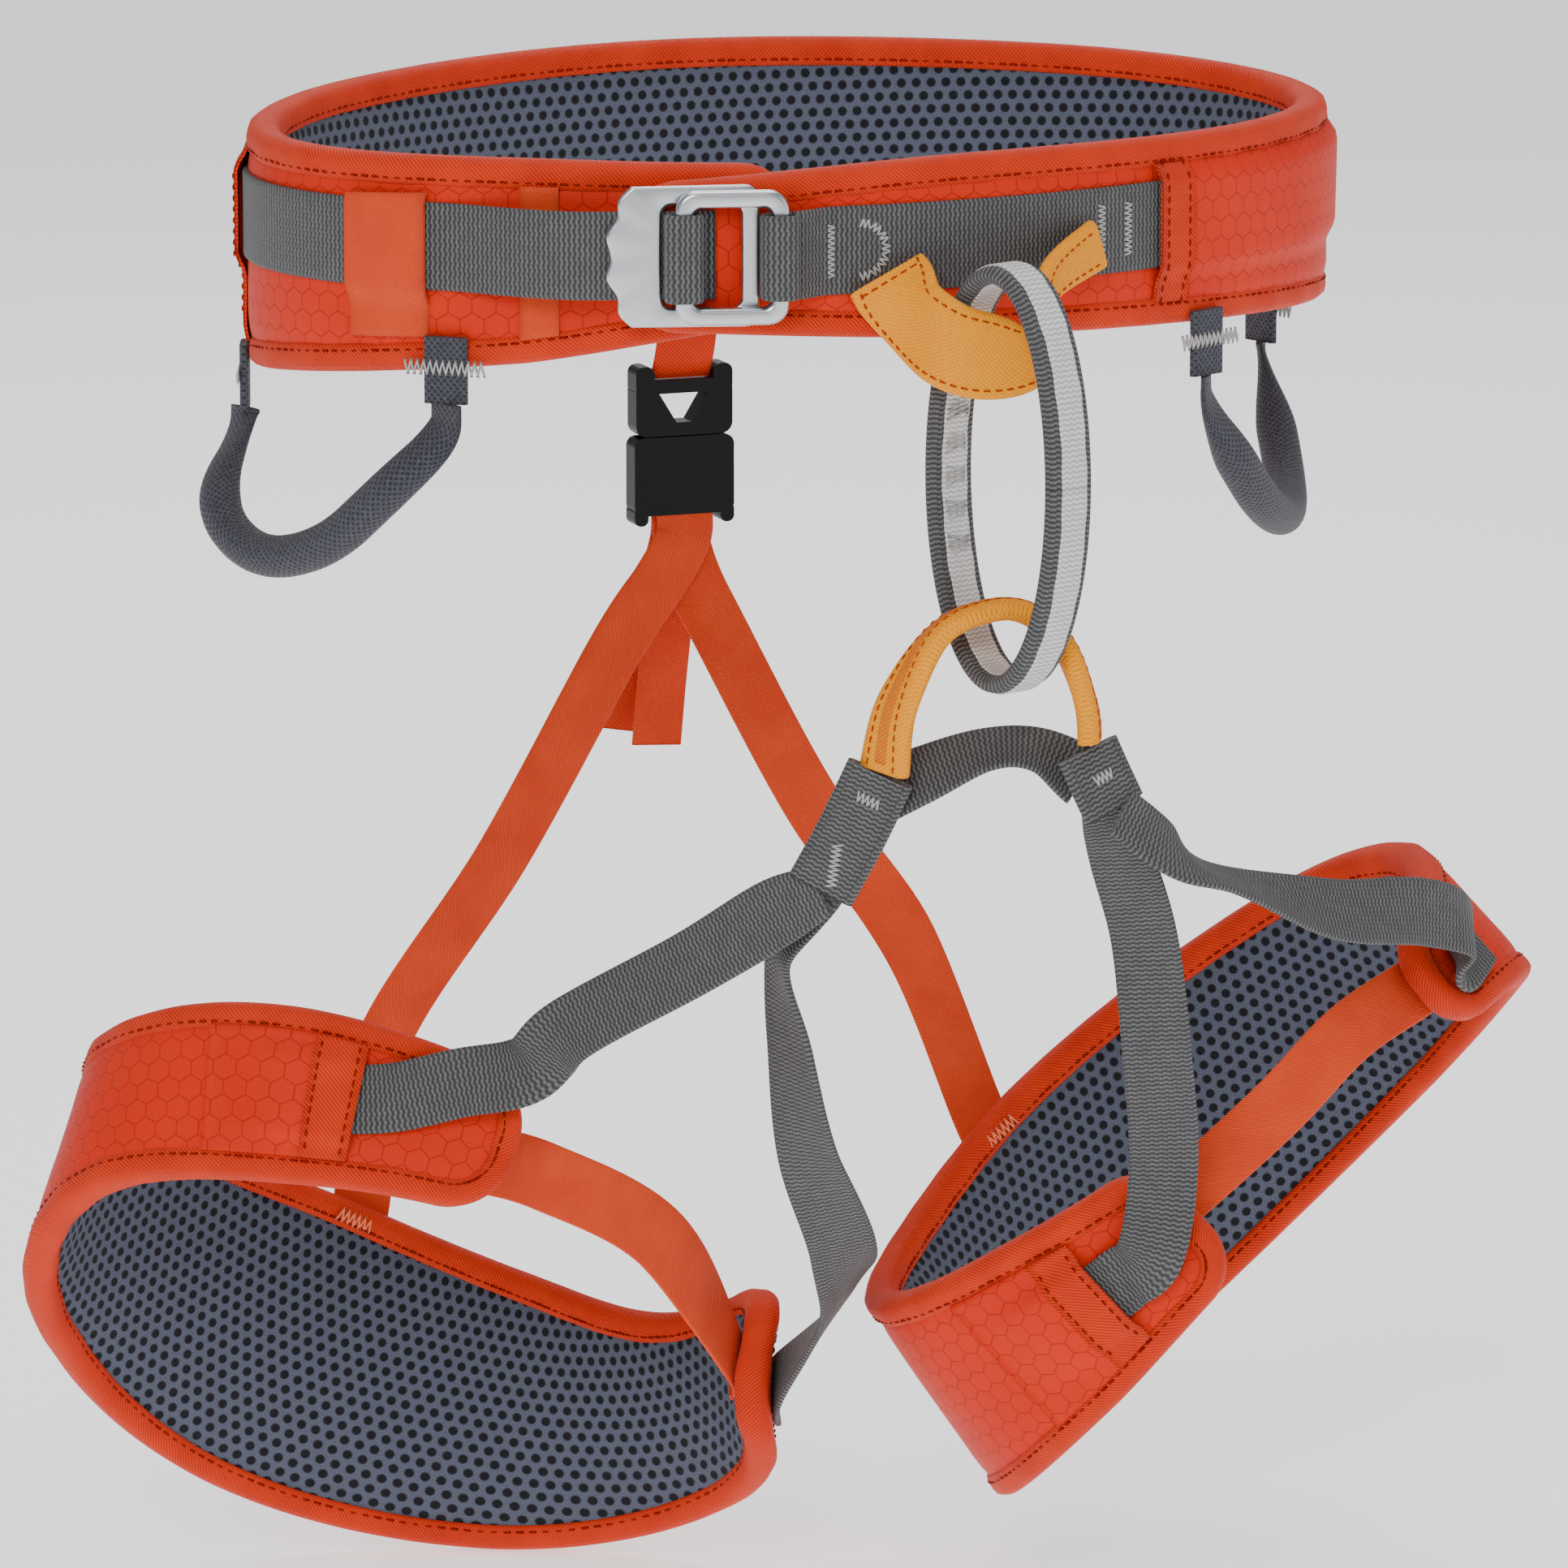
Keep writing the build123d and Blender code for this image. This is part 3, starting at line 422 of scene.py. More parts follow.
# A flat strap with round edges along its stations.
def strapMesh(name, stations, thickness, material, body, lift=0.0, closed=False):
    middles, across, outs, widths = stations
    flat, turn = np.linspace(-1, 1, 7), np.radians(np.linspace(60, -60, 5))
    a = np.concatenate([flat, np.ones(5), flat[::-1], -np.ones(5)])
    b = np.concatenate([np.zeros(7), np.cos(turn), np.zeros(7), -np.cos(turn)])
    c = np.concatenate([np.ones(7), np.sin(turn), -np.ones(7), -np.sin(turn)])
    half = thickness / 2
    sideways = a * (widths[:, None] / 2 - half) + b * half
    rise = np.broadcast_to(c * half + lift, sideways.shape)
    points = middles[:, None] + across[:, None] * sideways[..., None] + outs[:, None] * rise[..., None]
    count, ring = sideways.shape
    uv = np.stack([np.broadcast_to(distances(middles)[:, None], sideways.shape), sideways], -1)
    return makeMesh(name, points, gridQuads(count, ring, True), ringCaps(count, ring), material, body, uv)


# Stitches along a strap, at a distance across from its middle.
def rowAlong(stations, share, inset, lift, spacing=3.2, margin=2.0):
    middles, across, outs, widths = stations
    line = middles + across * (share * (widths / 2 - inset))[:, None] + outs * lift
    reach = distances(line)
    marks = np.arange(margin, reach[-1] - margin, spacing)
    pick = lambda rows: np.stack([np.interp(marks, reach, rows[:, k]) for k in range(3)], -1)
    return pick(line), pick(unit(np.gradient(line, axis=0))), unit(pick(outs))


# The belt is an oval that laps over itself. Each edge row is an angle, a low edge and a high edge.
belt = {"halfWidth": 160.0, "halfDepth": 104.0, "start": -34.0, "end": 346.0, "lap": 11.0, "endRound": 17.0,
        "edges": [(-34, -25, 16.5), (0, -30, 21.5), (45, -35, 21), (90, -42, 22), (135, -52, 26),
                  (180, -58, 29), (225, -53, 26), (270, -45, 22), (315, -36, 22), (346, -25, 20)]}
# Sizes that all three pads share. Each ripple is a pitch along, a pitch across and a shift.
padding = {"half": 4.0, "taper": 0.5, "puff": 0.9, "ripple": 0.3, "tape": 8.2, "proud": 1.0, "stitch": 3.4,
           "inset": 5.0, "ripples": ((9.0, 14.0, 0.3), (-13.0, 8.0, 2.1), (21.0, -9.5, 4.0))}


def beltOut(angles):
    turn = np.radians(angles)
    flat = [belt["halfDepth"] * np.sin(turn), -belt["halfWidth"] * np.cos(turn), np.zeros_like(turn)]
    return unit(np.stack(flat, -1))


def beltPoint(angles, heights, lifts):
    turn = np.radians(angles)
    spiral = belt["lap"] * (0.5 - (angles - belt["start"]) / (belt["end"] - belt["start"]))
    flat = [belt["halfWidth"] * np.sin(turn), -belt["halfDepth"] * np.cos(turn), heights + 0 * turn]
    return np.stack(flat, -1) + beltOut(angles) * (lifts + spiral)[..., None]


# Stations of a strap laid round the belt.
def beltStations(first, last, height, width, lift=None):
    angles = np.linspace(first, last, int(abs(last - first) / 1.2) + 8)
    lifts = np.zeros_like(angles) if lift is None else lift(angles)
    outs = beltOut(angles)
    count = len(angles)
    return beltPoint(angles, height, lifts), np.tile(upwards, (count, 1)), outs, np.full(count, float(width))


# A padded band. A distance along it, a height across it and a lift off its middle give a point.
class Pad:
    def __init__(self, name, body, angles, middles, across, outs, half, endRound):
        self.name, self.body, self.angles, self.endRound = name, body, angles, endRound
        self.middles, self.across, self.outs, self.half = middles, across, outs, half
        self.marks = distances(middles)
        self.length = self.marks[-1]

    def pick(self, rows, along):
        return np.stack([np.interp(along, self.marks, rows[:, k]) for k in range(3)], -1)

    def place(self, along, heights, lifts):
        return (self.pick(self.middles, along) + unit(self.pick(self.across, along)) * heights[..., None]
                + unit(self.pick(self.outs, along)) * lifts[..., None])

    def halfAt(self, along):
        return np.interp(along, self.marks, self.half)

    def alongAt(self, angle):
        return np.interp(angle, self.angles, self.marks)

    # closed line round the pad's edge, as distances along and heights, and the way in from it
    def outline(self, spacing=2.4):
        r, turn = self.endRound, np.linspace(0, np.pi / 2, 14)
        corner = r * (1 - np.cos(turn))
        run = np.arange(r + spacing, self.length - r - spacing / 2, spacing)
        along = np.concatenate([corner, run, self.length - corner[::-1]])
        rise = np.concatenate([r * np.sin(turn), np.full(len(run), r), r * np.sin(turn[::-1])])
        height = self.halfAt(along) - r + rise
        end = np.linspace(height[-1], -height[-1], 8)[1:-1]
        start = np.linspace(-height[0], height[0], 8)[1:-1]
        top = np.stack([along, height], -1)
        path = np.concatenate([top, np.stack([np.full(6, self.length), end], -1),
                               top[::-1] * (1, -1), np.stack([np.zeros(6), start], -1)])
        path = np.concatenate([path, path[:1]])
        way = np.gradient(path, axis=0)
        way[0] = way[-1] = path[1] - path[-2]
        way = unit(way)
        return path, np.stack([way[:, 1], -way[:, 0]], -1)

    # points on the outline at even distances, moved in and lifted
    def onOutline(self, marks, inward, lift):
        path, way = self.outline()
        reach = distances(path)
        pick = lambda rows, k: np.interp(marks % reach[-1], reach, rows[:, k])
        along = pick(path, 0) + pick(way, 0) * inward
        height = pick(path, 1) + pick(way, 1) * inward
        return self.place(along, height, lift + 0 * along)


def ripple(along, heights):
    waves = [np.sin(along / a + heights / b + shift) for a, b, shift in padding["ripples"]]
    return sum(waves) / len(waves)


# The stuffed body of a pad: cover outside, mesh inside, dipping towards its edges.
def padBody(pad, *nodes):
    inset, r = padding["inset"], pad.endRound
    ends = np.linspace(0, 1, 12)[:-1] ** 1.6 * (r + 6)
    count = int((pad.length - 2 * (inset + r + 6)) / 4)
    along = np.concatenate([inset + ends, np.linspace(inset + r + 6, pad.length - inset - r - 6, count),
                            pad.length - inset - ends[::-1]])
    reach = np.minimum(along, pad.length - along)
    corner = np.sqrt(np.clip((r - inset) ** 2 - np.clip(r - reach, 0, None) ** 2, 0, None))
    half = pad.halfAt(along) - r + corner
    face = 27
    ring = 2 * face
    sides = np.linspace(-1, 1, face)
    sides = np.concatenate([sides, sides[::-1]])
    heights = half[:, None] * sides
    nearEnd = np.clip(1 - (reach - inset) / 18, 0, 1)[:, None]
    dip = (1 - padding["taper"] * np.abs(sides) ** 8) * (1 - padding["taper"] * nearEnd ** 4)
    wide = np.broadcast_to(along[:, None], heights.shape)
    waves = padding["ripple"] * ripple(wide, heights) * (1 - sides ** 4)
    lifts = ((padding["half"] + padding["puff"]) * dip + waves) * np.where(np.arange(ring) < face, 1, -1)
    faceMaterial = np.tile(np.where(np.arange(ring) < face - 1, 0, 1), len(along) - 1)
    made = makeMesh(pad.name, pad.place(wide, heights, lifts), gridQuads(len(along), ring, True),
                    ringCaps(len(along), ring), [shellCloth, meshCloth], pad.body,
                    np.stack([wide, heights], -1), faceMaterial)
    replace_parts(made, *nodes)
    return made


# The tape folded round the pad's edge: all the way, or a short run between marks, grown to lie on top.
def padTape(name, pad, marks=None, grow=0.0):
    half, tape, proud = padding["half"] + grow, padding["tape"] + grow, padding["proud"]
    side = np.array([(tape, 0.1), (tape - 0.9, proud * 0.75), (tape - 3.0, proud), (3.6, proud),
                     (1.9, proud * 0.6), (0.75, -0.7), (0.1, -2.1)])
    inward = np.concatenate([side[:, 0], side[::-1, 0]]) - grow
    lifts = np.concatenate([half + side[:, 1], -(half + side[::-1, 1])])
    if marks is None:
        path, way = pad.outline()
        along = path[:, :1] + way[:, :1] * inward
        height = path[:, 1:] + way[:, 1:] * inward
        pull = 1 + 0.035 * np.sin(distances(path) / 2.9)[:, None]
        points = pad.place(along, height, np.broadcast_to(lifts, along.shape) * pull)
        points[-1] = points[0]
    else:
        points = np.stack([pad.onOutline(marks, i, l) for i, l in zip(inward, lifts)], 1)
    count, ring = points.shape[:2]
    across = np.concatenate([[0], np.cumsum(np.hypot(np.diff(inward), np.diff(lifts)))])
    run = distances(points[:, 6])
    uv = np.stack(np.broadcast_arrays(run[:, None], across[None]), -1)
    caps = [] if marks is None else ringCaps(count, ring)
    made = makeMesh(name, points, gridQuads(count, ring, True), caps, bindingCloth, pad.body, uv)
    return made


def padStitches(pad):
    path, _ = pad.outline()
    marks = np.arange(0, distances(path)[-1] - 1, padding["stitch"])
    rows = []
    for sign in (1, -1):
        lift = sign * (padding["half"] + padding["proud"] * 0.86)
        line = pad.onOutline(marks, padding["tape"] - 1.9, lift)
        ahead = pad.onOutline(marks + 1, padding["tape"] - 1.9, lift)
        out = unit(pad.onOutline(marks, padding["tape"] - 1.9, lift + sign) - line)
        rows.append((line, ahead - line, out))
    made = stitchMesh(pad.name + "Stitches", rows, 2.5, 0.75, 0.45, orangeThread, pad.body)
    return made


# A thin patch lying on a pad between two distances along it and two heights.
def padPatch(name, pad, first, last, low, high, lift, thickness, material, slot, *nodes):
    along = np.linspace(first, last, max(int(abs(last - first) / 2.5), 5))
    face = 25
    ring = 2 * face
    share = np.linspace(0, 1, face)
    lowest, highest = (edge(along) if callable(edge) else np.full(len(along), float(edge))
                       for edge in (low, high))
    rows = lowest[:, None] + (highest - lowest)[:, None] * share
    heights = np.concatenate([rows, rows[:, ::-1]], 1)
    wide = np.broadcast_to(along[:, None], heights.shape)
    under = np.where(np.arange(ring) < face, 0.0, thickness)
    points = pad.place(wide, heights, lift(wide, heights) - under)
    made = makeMesh(name, points, gridQuads(len(along), ring, True), ringCaps(len(along), ring), material,
                    pad.body, np.stack([wide, heights], -1))
    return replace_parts(made, *nodes) if nodes else made


beltAngles = np.linspace(belt["start"], belt["end"], 700)
lowEdge, highEdge = smoothAt(belt["edges"], beltAngles).T
beltPad = Pad("beltPad", "belt", beltAngles, beltPoint(beltAngles, (lowEdge + highEdge) / 2, 0 * beltAngles),
              np.tile(upwards, (len(beltAngles), 1)), beltOut(beltAngles), (highEdge - lowEdge) / 2,
              belt["endRound"])
padBody(beltPad, "belt_mesh_lining", "belt_foam_core", "belt_outer_shell")
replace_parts(padTape("beltTape", beltPad), "belt_edge_binding")
padStitches(beltPad)


def beltMiddle(along):
    return np.interp(along, beltPad.marks, (lowEdge + highEdge) / 2)


# The belt's webbing, its cover, hems and keepers. Pairs are angles round the belt.
webbing = {"width": 25.0, "thickness": 2.0, "height": -3.0, "climbStart": 305.8, "climbTurn": 16.0,
           "end": 336.0, "join": 219.4, "start": -16.6, "keeper": (291.0, 303.0), "narrow": (314.8, 319.4),
           "hem": (24.8, 29.4), "cover": (27.0, 251.0), "rearHem": (250.0, 256.0), "rest": 1.3,
           "eyeLift": 6.2}
hemStitch = {"length": 2.4, "width": 0.7, "height": 0.45}


def climb(angles):
    share = np.clip((angles - webbing["climbStart"]) / webbing["climbTurn"], 0, 1)
    return belt["lap"] * smooth([[0], [0], [1], [1]], 1 + np.minimum(share, 0.9999))[:, 0]


adjusting = beltStations(webbing["join"], webbing["end"], webbing["height"], webbing["width"], climb)
fixed = beltStations(webbing["start"], webbing["join"] - 0.4, webbing["height"], webbing["width"],
                     lambda angles: webbing["eyeLift"] * (1 - softStep(-16.5, -12.2, angles)))
for name, stations, node in (("adjustingWebbing", adjusting, "belt_webbing_adjusting"),
                             ("fixedWebbing", fixed, "belt_webbing_fixed")):
    made = strapMesh(name, stations, webbing["thickness"], greyWebbing, "belt",
                     padding["half"] + webbing["rest"])
    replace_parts(made, node)


def overWebbing(top, rest=5.3):
    def lift(along, heights):
        away = np.abs(heights + beltMiddle(along) - webbing["height"])
        return rest + (top - rest) * (1 - softStep(11.5, 18.5, away))
    return lift


def coverLift(along, heights):
    edge = np.abs(heights) / (beltPad.halfAt(along) - padding["tape"] + 1)
    base = overWebbing(8.0, 5.4)(along, heights) + 0.25 * ripple(along, heights)
    return base - 0.8 * softStep(0.85, 1.0, edge)


def hemLift(along, heights):
    return coverLift(along, heights) + 0.9


# a height just inside the tape: the low side is -1 and the high side 1
def insideTape(pad, sign, lap):
    return lambda along: sign * (pad.halfAt(along) - padding["tape"] + lap)


def beltPatch(name, key, low, high, *rest):
    first, last = (beltPad.alongAt(angle) for angle in webbing[key])
    padPatch(name, beltPad, first, last, low, high, *rest)


low, high = insideTape(beltPad, -1, 1), insideTape(beltPad, 1, 1)
beltPatch("webbingCover", "cover", low, high, coverLift, 1.0, shellCloth, "shell_ripstop",
          "belt_tunnel_cover")
beltPatch("tunnelHem", "hem", low, high, hemLift, 1.1, bindingCloth, "binding_twill", "belt_tunnel_hem")
beltPatch("rearHem", "rearHem", low, high, hemLift, 1.1, bindingCloth, "binding_twill")
beltPatch("webbingKeeper", "keeper", -20.5, 20.5, overWebbing(8.5, 5.7), 1.1, coralCloth, "coral_elastic",
          "webbing_keeper_elastic")
beltPatch("narrowKeeper", "narrow", low, high, lambda along, heights: 5.8 + 0 * along, 1.0, coralCloth,
          "coral_elastic")


# stitches across a pad at one distance along it
def rowAcross(pad, s, low, high, lift, spacing=3.2):
    heights = np.arange(low, high, spacing)
    s = np.full(len(heights), float(s))
    line, top = pad.place(s, heights, lift(s, heights)), pad.place(s, heights, lift(s, heights) + 1)
    return line, pad.place(s, heights + 1, lift(s, heights + 1)) - line, unit(top - line)


hemRows = [rowAcross(beltPad, beltPad.alongAt(a), -19, 20, hemLift) for a in (25.6, 28.6, 251.0, 255.0)]
made = stitchMesh("hemStitches", hemRows, **hemStitch, material=orangeThread, body="belt")
print("belt made")


# The waist buckle, in its own directions: along the belt, up and out from it.
buckle = {"angle": -25.7, "plateLow": 6.3, "plateThickness": 2.6, "frameLow": 9.7, "frameThickness": 4.0,
          "left": -26.0, "right": 17.0, "height": 40.0, "wave": 2.6, "window": (-10.5, 12.0, 29.0),
          "frame": (-7.0, 25.0, 38.0), "bar": 5.0, "wrapThickness": 1.7}
buckleAngle = np.array([buckle["angle"]])
buckleOrigin = beltPoint(buckleAngle, webbing["height"], 0 * buckleAngle)[0]
buckleOut = beltOut(buckleAngle)[0]
buckleAlong = np.cross(upwards, buckleOut)


def onBuckle(x, y, z):
    return buckleOrigin + x[..., None] * buckleAlong + y[..., None] * upwards + z[..., None] * buckleOut


def roundedBox(left, right, low, high, radius, count=10):
    turn = np.linspace(0, np.pi / 2, count)
    corners = [((right - radius, high - radius), 0), ((left + radius, high - radius), 1),
               ((left + radius, low + radius), 2), ((right - radius, low + radius), 3)]
    arcs = []
    for (x, y), quarter in corners:
        swung = turn + quarter * np.pi / 2
        arcs.append(np.stack([x + radius * np.cos(swung), y + radius * np.sin(swung)], -1))
    return np.concatenate(arcs)


# distance of an outline from a middle point, in each direction
def reachOf(outline, middle, turns):
    closed = np.concatenate([outline, outline[:1]])
    marks = distances(np.pad(closed, ((0, 0), (0, 1))))
    dense = np.linspace(0, marks[-1], 1600)
    line = np.stack([np.interp(dense, marks, closed[:, k]) for k in range(2)], -1) - middle
    turn = np.arctan2(line[:, 1], line[:, 0])
    order = np.argsort(turn)
    return np.interp(turns, turn[order], np.hypot(line[:, 0], line[:, 1])[order], period=2 * np.pi)


# A flat plate with one opening, its edges rounded.
def ringPlate(name, outer, hole, low, high, bevel, place, material, body):
    middle, count, profile = hole.mean(0), 260, 12
    turns = np.linspace(-np.pi, np.pi, count, endpoint=False)
    far, near = reachOf(outer, middle, turns)[:, None], reachOf(hole, middle, turns)[:, None]
    turn = np.radians(np.linspace(-90, 90, profile))
    inset = bevel * (1 - np.cos(turn))
    rise = np.where(turn < 0, low + bevel * (1 + np.sin(turn)), high - bevel * (1 - np.sin(turn)))
    radius = np.concatenate([far - inset, near + inset[::-1]], 1)
    z = np.broadcast_to(np.concatenate([rise, rise[::-1]]), radius.shape)
    x = middle[0] + radius * np.cos(turns)[:, None]
    y = middle[1] + radius * np.sin(turns)[:, None]
    return makeMesh(name, place(x, y, z), gridQuads(count, 2 * profile, True, True), [], material, body)


# the plate's left edge has finger waves, and its right corners are round
half, leftEdge = buckle["height"] / 2, buckle["left"]
upperWaves = [(leftEdge + 7, half - 0.2), (leftEdge + 3.4, half * 0.80), (leftEdge + 3.0, half * 0.56),
              (leftEdge, half * 0.30)]
lowerWaves = [(x, -y) for x, y in reversed(upperWaves)]
waves = smooth([*upperWaves, (leftEdge + 1.2, 0), *lowerWaves], np.linspace(0, 8, 81))
corner = roundedBox(leftEdge + 10, buckle["right"], -half, half, 4)
rightSide = np.concatenate([corner[30:], corner[:10]])
plateLow = buckle["plateLow"]
left, right, tall = buckle["window"]
plateHole = roundedBox(left, right, -tall / 2, tall / 2, 3)
plate = ringPlate("bucklePlate", np.concatenate([waves, rightSide]), plateHole, plateLow,
                  plateLow + buckle["plateThickness"], 1.0, onBuckle, satinSteel, "belt")
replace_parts(plate, "waist_buckle_plate")
left, right, tall = buckle["frame"]
bar = buckle["bar"]
frameLow, frameHigh = buckle["frameLow"], buckle["frameLow"] + buckle["frameThickness"]
ring = ringPlate("buckleFrame", roundedBox(left, right, -tall / 2, tall / 2, 6),
                 roundedBox(left + bar, right - bar, -tall / 2 + bar, tall / 2 - bar, 2.5), frameLow, frameHigh, 1.6,
                 onBuckle, satinSteel, "waist_buckle_frame")
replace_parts(ring, "waist_buckle_frame")


# webbing sewn in an eye round one of the buckle's bars
def buckleEye(name, x, halfLength, halfDepth, width, body, node):
    t, count = buckle["wrapThickness"], 90
    long, deep = halfLength + t / 2, halfDepth + t / 2
    line = roundedBox(-long, long, -deep, deep, deep - 0.05, 12)
    line = np.concatenate([line, line[:1]])
    marks = distances(np.pad(line, ((0, 0), (0, 1))))
    dense = np.linspace(0, marks[-1], count)
    line = np.stack([np.interp(dense, marks, line[:, k]) for k in range(2)], -1)
    way = np.gradient(line, axis=0)
    way[0] = way[-1] = line[1] - line[-2]
    way = unit(way)
    middles = onBuckle(x + line[:, 0], np.zeros(count), (frameLow + frameHigh) / 2 + line[:, 1])
    outs = way[:, 1:] * buckleAlong - way[:, :1] * buckleOut
    stations = middles, np.tile(upwards, (count, 1)), outs, np.full(count, width)
    made = strapMesh(name, stations, t, greyWebbing, body)
    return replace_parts(made, node)


buckleEye("adjustingWrap", left + bar / 2, 3.9, 2.5, 25.0, "waist_buckle_frame", "adjusting_webbing_wrap")
buckleEye("fixedEye", right - bar / 2, 4.1, 3.6, 24.0, "belt", "fixed_webbing_eye")

# bar tacks on the fixed webbing: one straight, one bowed, and a pair beside the cover
tackTop = padding["half"] + webbing["rest"] + webbing["thickness"] / 2 + 0.1


def beltTack(angle, height, length, width, tilt=0.0):
    angle = np.array([angle])
    out = beltOut(angle)[0]
    way = upwards * np.cos(tilt) + np.cross(upwards, out) * np.sin(tilt)
    middle = beltPoint(angle, webbing["height"] + height, np.array([tackTop]))[0]
    return barTack(middle, way, out, length, width)


tacks = [beltTack(-12.4, 0, 15, 3.2), beltTack(17.4, 0, 15, 3.0), beltTack(20.8, 0, 15, 3.0)]
for turn in np.radians(np.linspace(-80, 80, 7)):
    tacks.append(beltTack(-9.3 + 2.6 * np.cos(turn), 7.5 * np.sin(turn), 3.4, 3.2, -turn))
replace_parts(tackMesh("beltTacks", tacks, tackThread, "belt"), "belt_bar_tacks")
print("waist buckle made")


# The tie-in points and the belay loop.
def beltSpot(angle, height, lift):
    return beltPoint(np.array([float(angle)]), float(height), np.array([float(lift)]))[0]


def beltFace(angle):
    return beltOut(np.array([float(angle)]))[0]


upperTie = {"thickness": 4.2, "widths": [24, 25, 25, 24, 19, 14, 14, 15],
            "route": [(beltSpot(-7, -10, 9.1), beltFace(-7)), ((-15.5, -125, -21), (-0.9, -0.4, 0.05)),
                      ((-10, -136.5, -28), (-0.75, -0.65, 0.1)), ((0, -142.5, -31), (-0.4, -0.9, 0.1)),
                      ((10, -145, -31), (0.1, -1.0, 0.1)), ((18, -139, -26), (0.7, -0.7, 0.1)),
                      ((26, -125, -14), (0.8, -0.6, 0.0)), (beltSpot(16, -6, 9.1), beltFace(16))]}
lowerTie = {"thickness": 6.2, "seam": 3.4, "widths": [15.5, 14, 13, 11.5, 10.5, 11, 13, 15],
            "route": [((-26, -128, -149), (-0.75, -0.6, 0.2)), ((-24, -132, -130), (-0.8, -0.4, 0.35)),
                      ((-14, -137.5, -110), (-0.5, 0.1, 0.8)), ((-1, -141, -103.5), (0.0, 0.15, 1.0)),
                      ((11, -143, -104.5), (0.3, 0.1, 0.92)), ((21, -146, -114), (0.8, -0.1, 0.6)),
                      ((26, -150, -130), (0.85, -0.4, 0.2)), ((27, -151, -141), (0.85, -0.5, 0.1))]}
upperLine = routeStations(upperTie["route"], upperTie["widths"])
lowerLine = routeStations(lowerTie["route"], lowerTie["widths"])
made = strapMesh("upperTieIn", upperLine, upperTie["thickness"], sleeveCloth, "belt")
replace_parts(made, "upper_tie_in_sleeve", "upper_tie_in_webbing")
made = strapMesh("lowerTieIn", lowerLine, lowerTie["thickness"], sleeveCloth, "belt")
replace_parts(made, "lower_tie_in_sleeve", "lower_tie_in_webbing")
seamLine = (*[part[3:-3] for part in lowerLine[:3]], np.full(len(lowerLine[0]) - 6, lowerTie["seam"]))
strapMesh("lowerSeam", seamLine, 0.8, sleeveSeam, "belt", lowerTie["thickness"] / 2)
rows = [rowAlong(upperLine, side, 2.6, upperTie["thickness"] / 2) for side in (-1, 1)]
rows += [rowAlong(lowerLine, side, 3.4, lowerTie["thickness"] / 2) for side in (-1, 1)]
# one more row across the upper sleeve, near its first end
middle, over, out = (part[3] for part in upperLine[:3])
line = np.array([middle + over * step + out * upperTie["thickness"] / 2 for step in np.arange(-8.5, 9, 3.2)])
rows.append((line, np.tile(over, (len(line), 1)), np.tile(out, (len(line), 1))))
stitchMesh("sleeveStitches", rows, 2.3, 0.7, 0.4, amberThread, "belt")

belay = {"centre": (4.8, -143.2, -65.5), "turn": 18.0, "height": 121.0, "depth": 54.0, "thickness": 5.0,
         "width": 16.0, "stripe": 9.4, "tackHeights": (18, 8, -2, -12, -22)}
belayDeep, belayTall = ((belay[key] - belay["thickness"]) / 2 for key in ("depth", "height"))
turn = np.radians(belay["turn"])
belayFront = np.array([np.sin(turn), -np.cos(turn), 0])
belaySide = np.cross(belayFront, upwards)


# stations round the belay loop, whose width may waver
def loopStations(width, waver=0.0):
    turns = np.linspace(0, 2 * np.pi, 181)
    front, up = np.cos(turns)[:, None] * belayFront, np.sin(turns)[:, None] * upwards
    middles = np.array(belay["centre"]) + belayDeep * front + belayTall * up
    widths = width + waver * np.sin(turns * 23) * np.sin(turns * 9)
    return middles, np.tile(belaySide, (len(turns), 1)), unit(belayTall * front + belayDeep * up), widths


belayLine = loopStations(belay["width"])
made = strapMesh("belayLoop", belayLine, belay["thickness"], greyWebbing, "belay_loop")
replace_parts(made, "belay_loop_webbing")
stripeLine = loopStations(belay["stripe"], 0.5)
made = strapMesh("belayStripe", stripeLine, 0.8, whiteCloth, "belay_loop", belay["thickness"] / 2 + 0.1)
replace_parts(made, "belay_loop_stripe")
made = strapMesh("belayInnerStripe", stripeLine, 0.7, whiteCloth, "belay_loop", -belay["thickness"] / 2 - 0.1)
# bar tacks on both faces of the strand at the back
backTacks = []
for height in belay["tackHeights"]:
    turn = np.pi - np.arcsin(height / belayTall)
    spot = np.array(belay["centre"]) + belayDeep * np.cos(turn) * belayFront + height * upwards
    out = unit(belayTall * np.cos(turn) * belayFront + belayDeep * np.sin(turn) * upwards)
    for face in (-out, out):
        backTacks.append(barTack(spot + face * (belay["thickness"] / 2 + 0.5), upwards, face, 4.6, 8.5))
tackMesh("belayTacks", backTacks, tackThread, "belay_loop")

# The short thick joints below the lower tie-in point: points and the ways that they face.
viewFace, leftFace = (-0.4, -0.9, 0.15), (0.1, -0.98, 0.1)
blocks = {"right": [((-27.0, -127.5, -150), viewFace), ((-33, -122, -167), viewFace),
                    ((-40, -115.5, -184.5), viewFace)],
          "left": [((26, -151.5, -143), leftFace), ((29, -153.5, -151), leftFace),
                   ((32.8, -155.2, -160), leftFace)]}
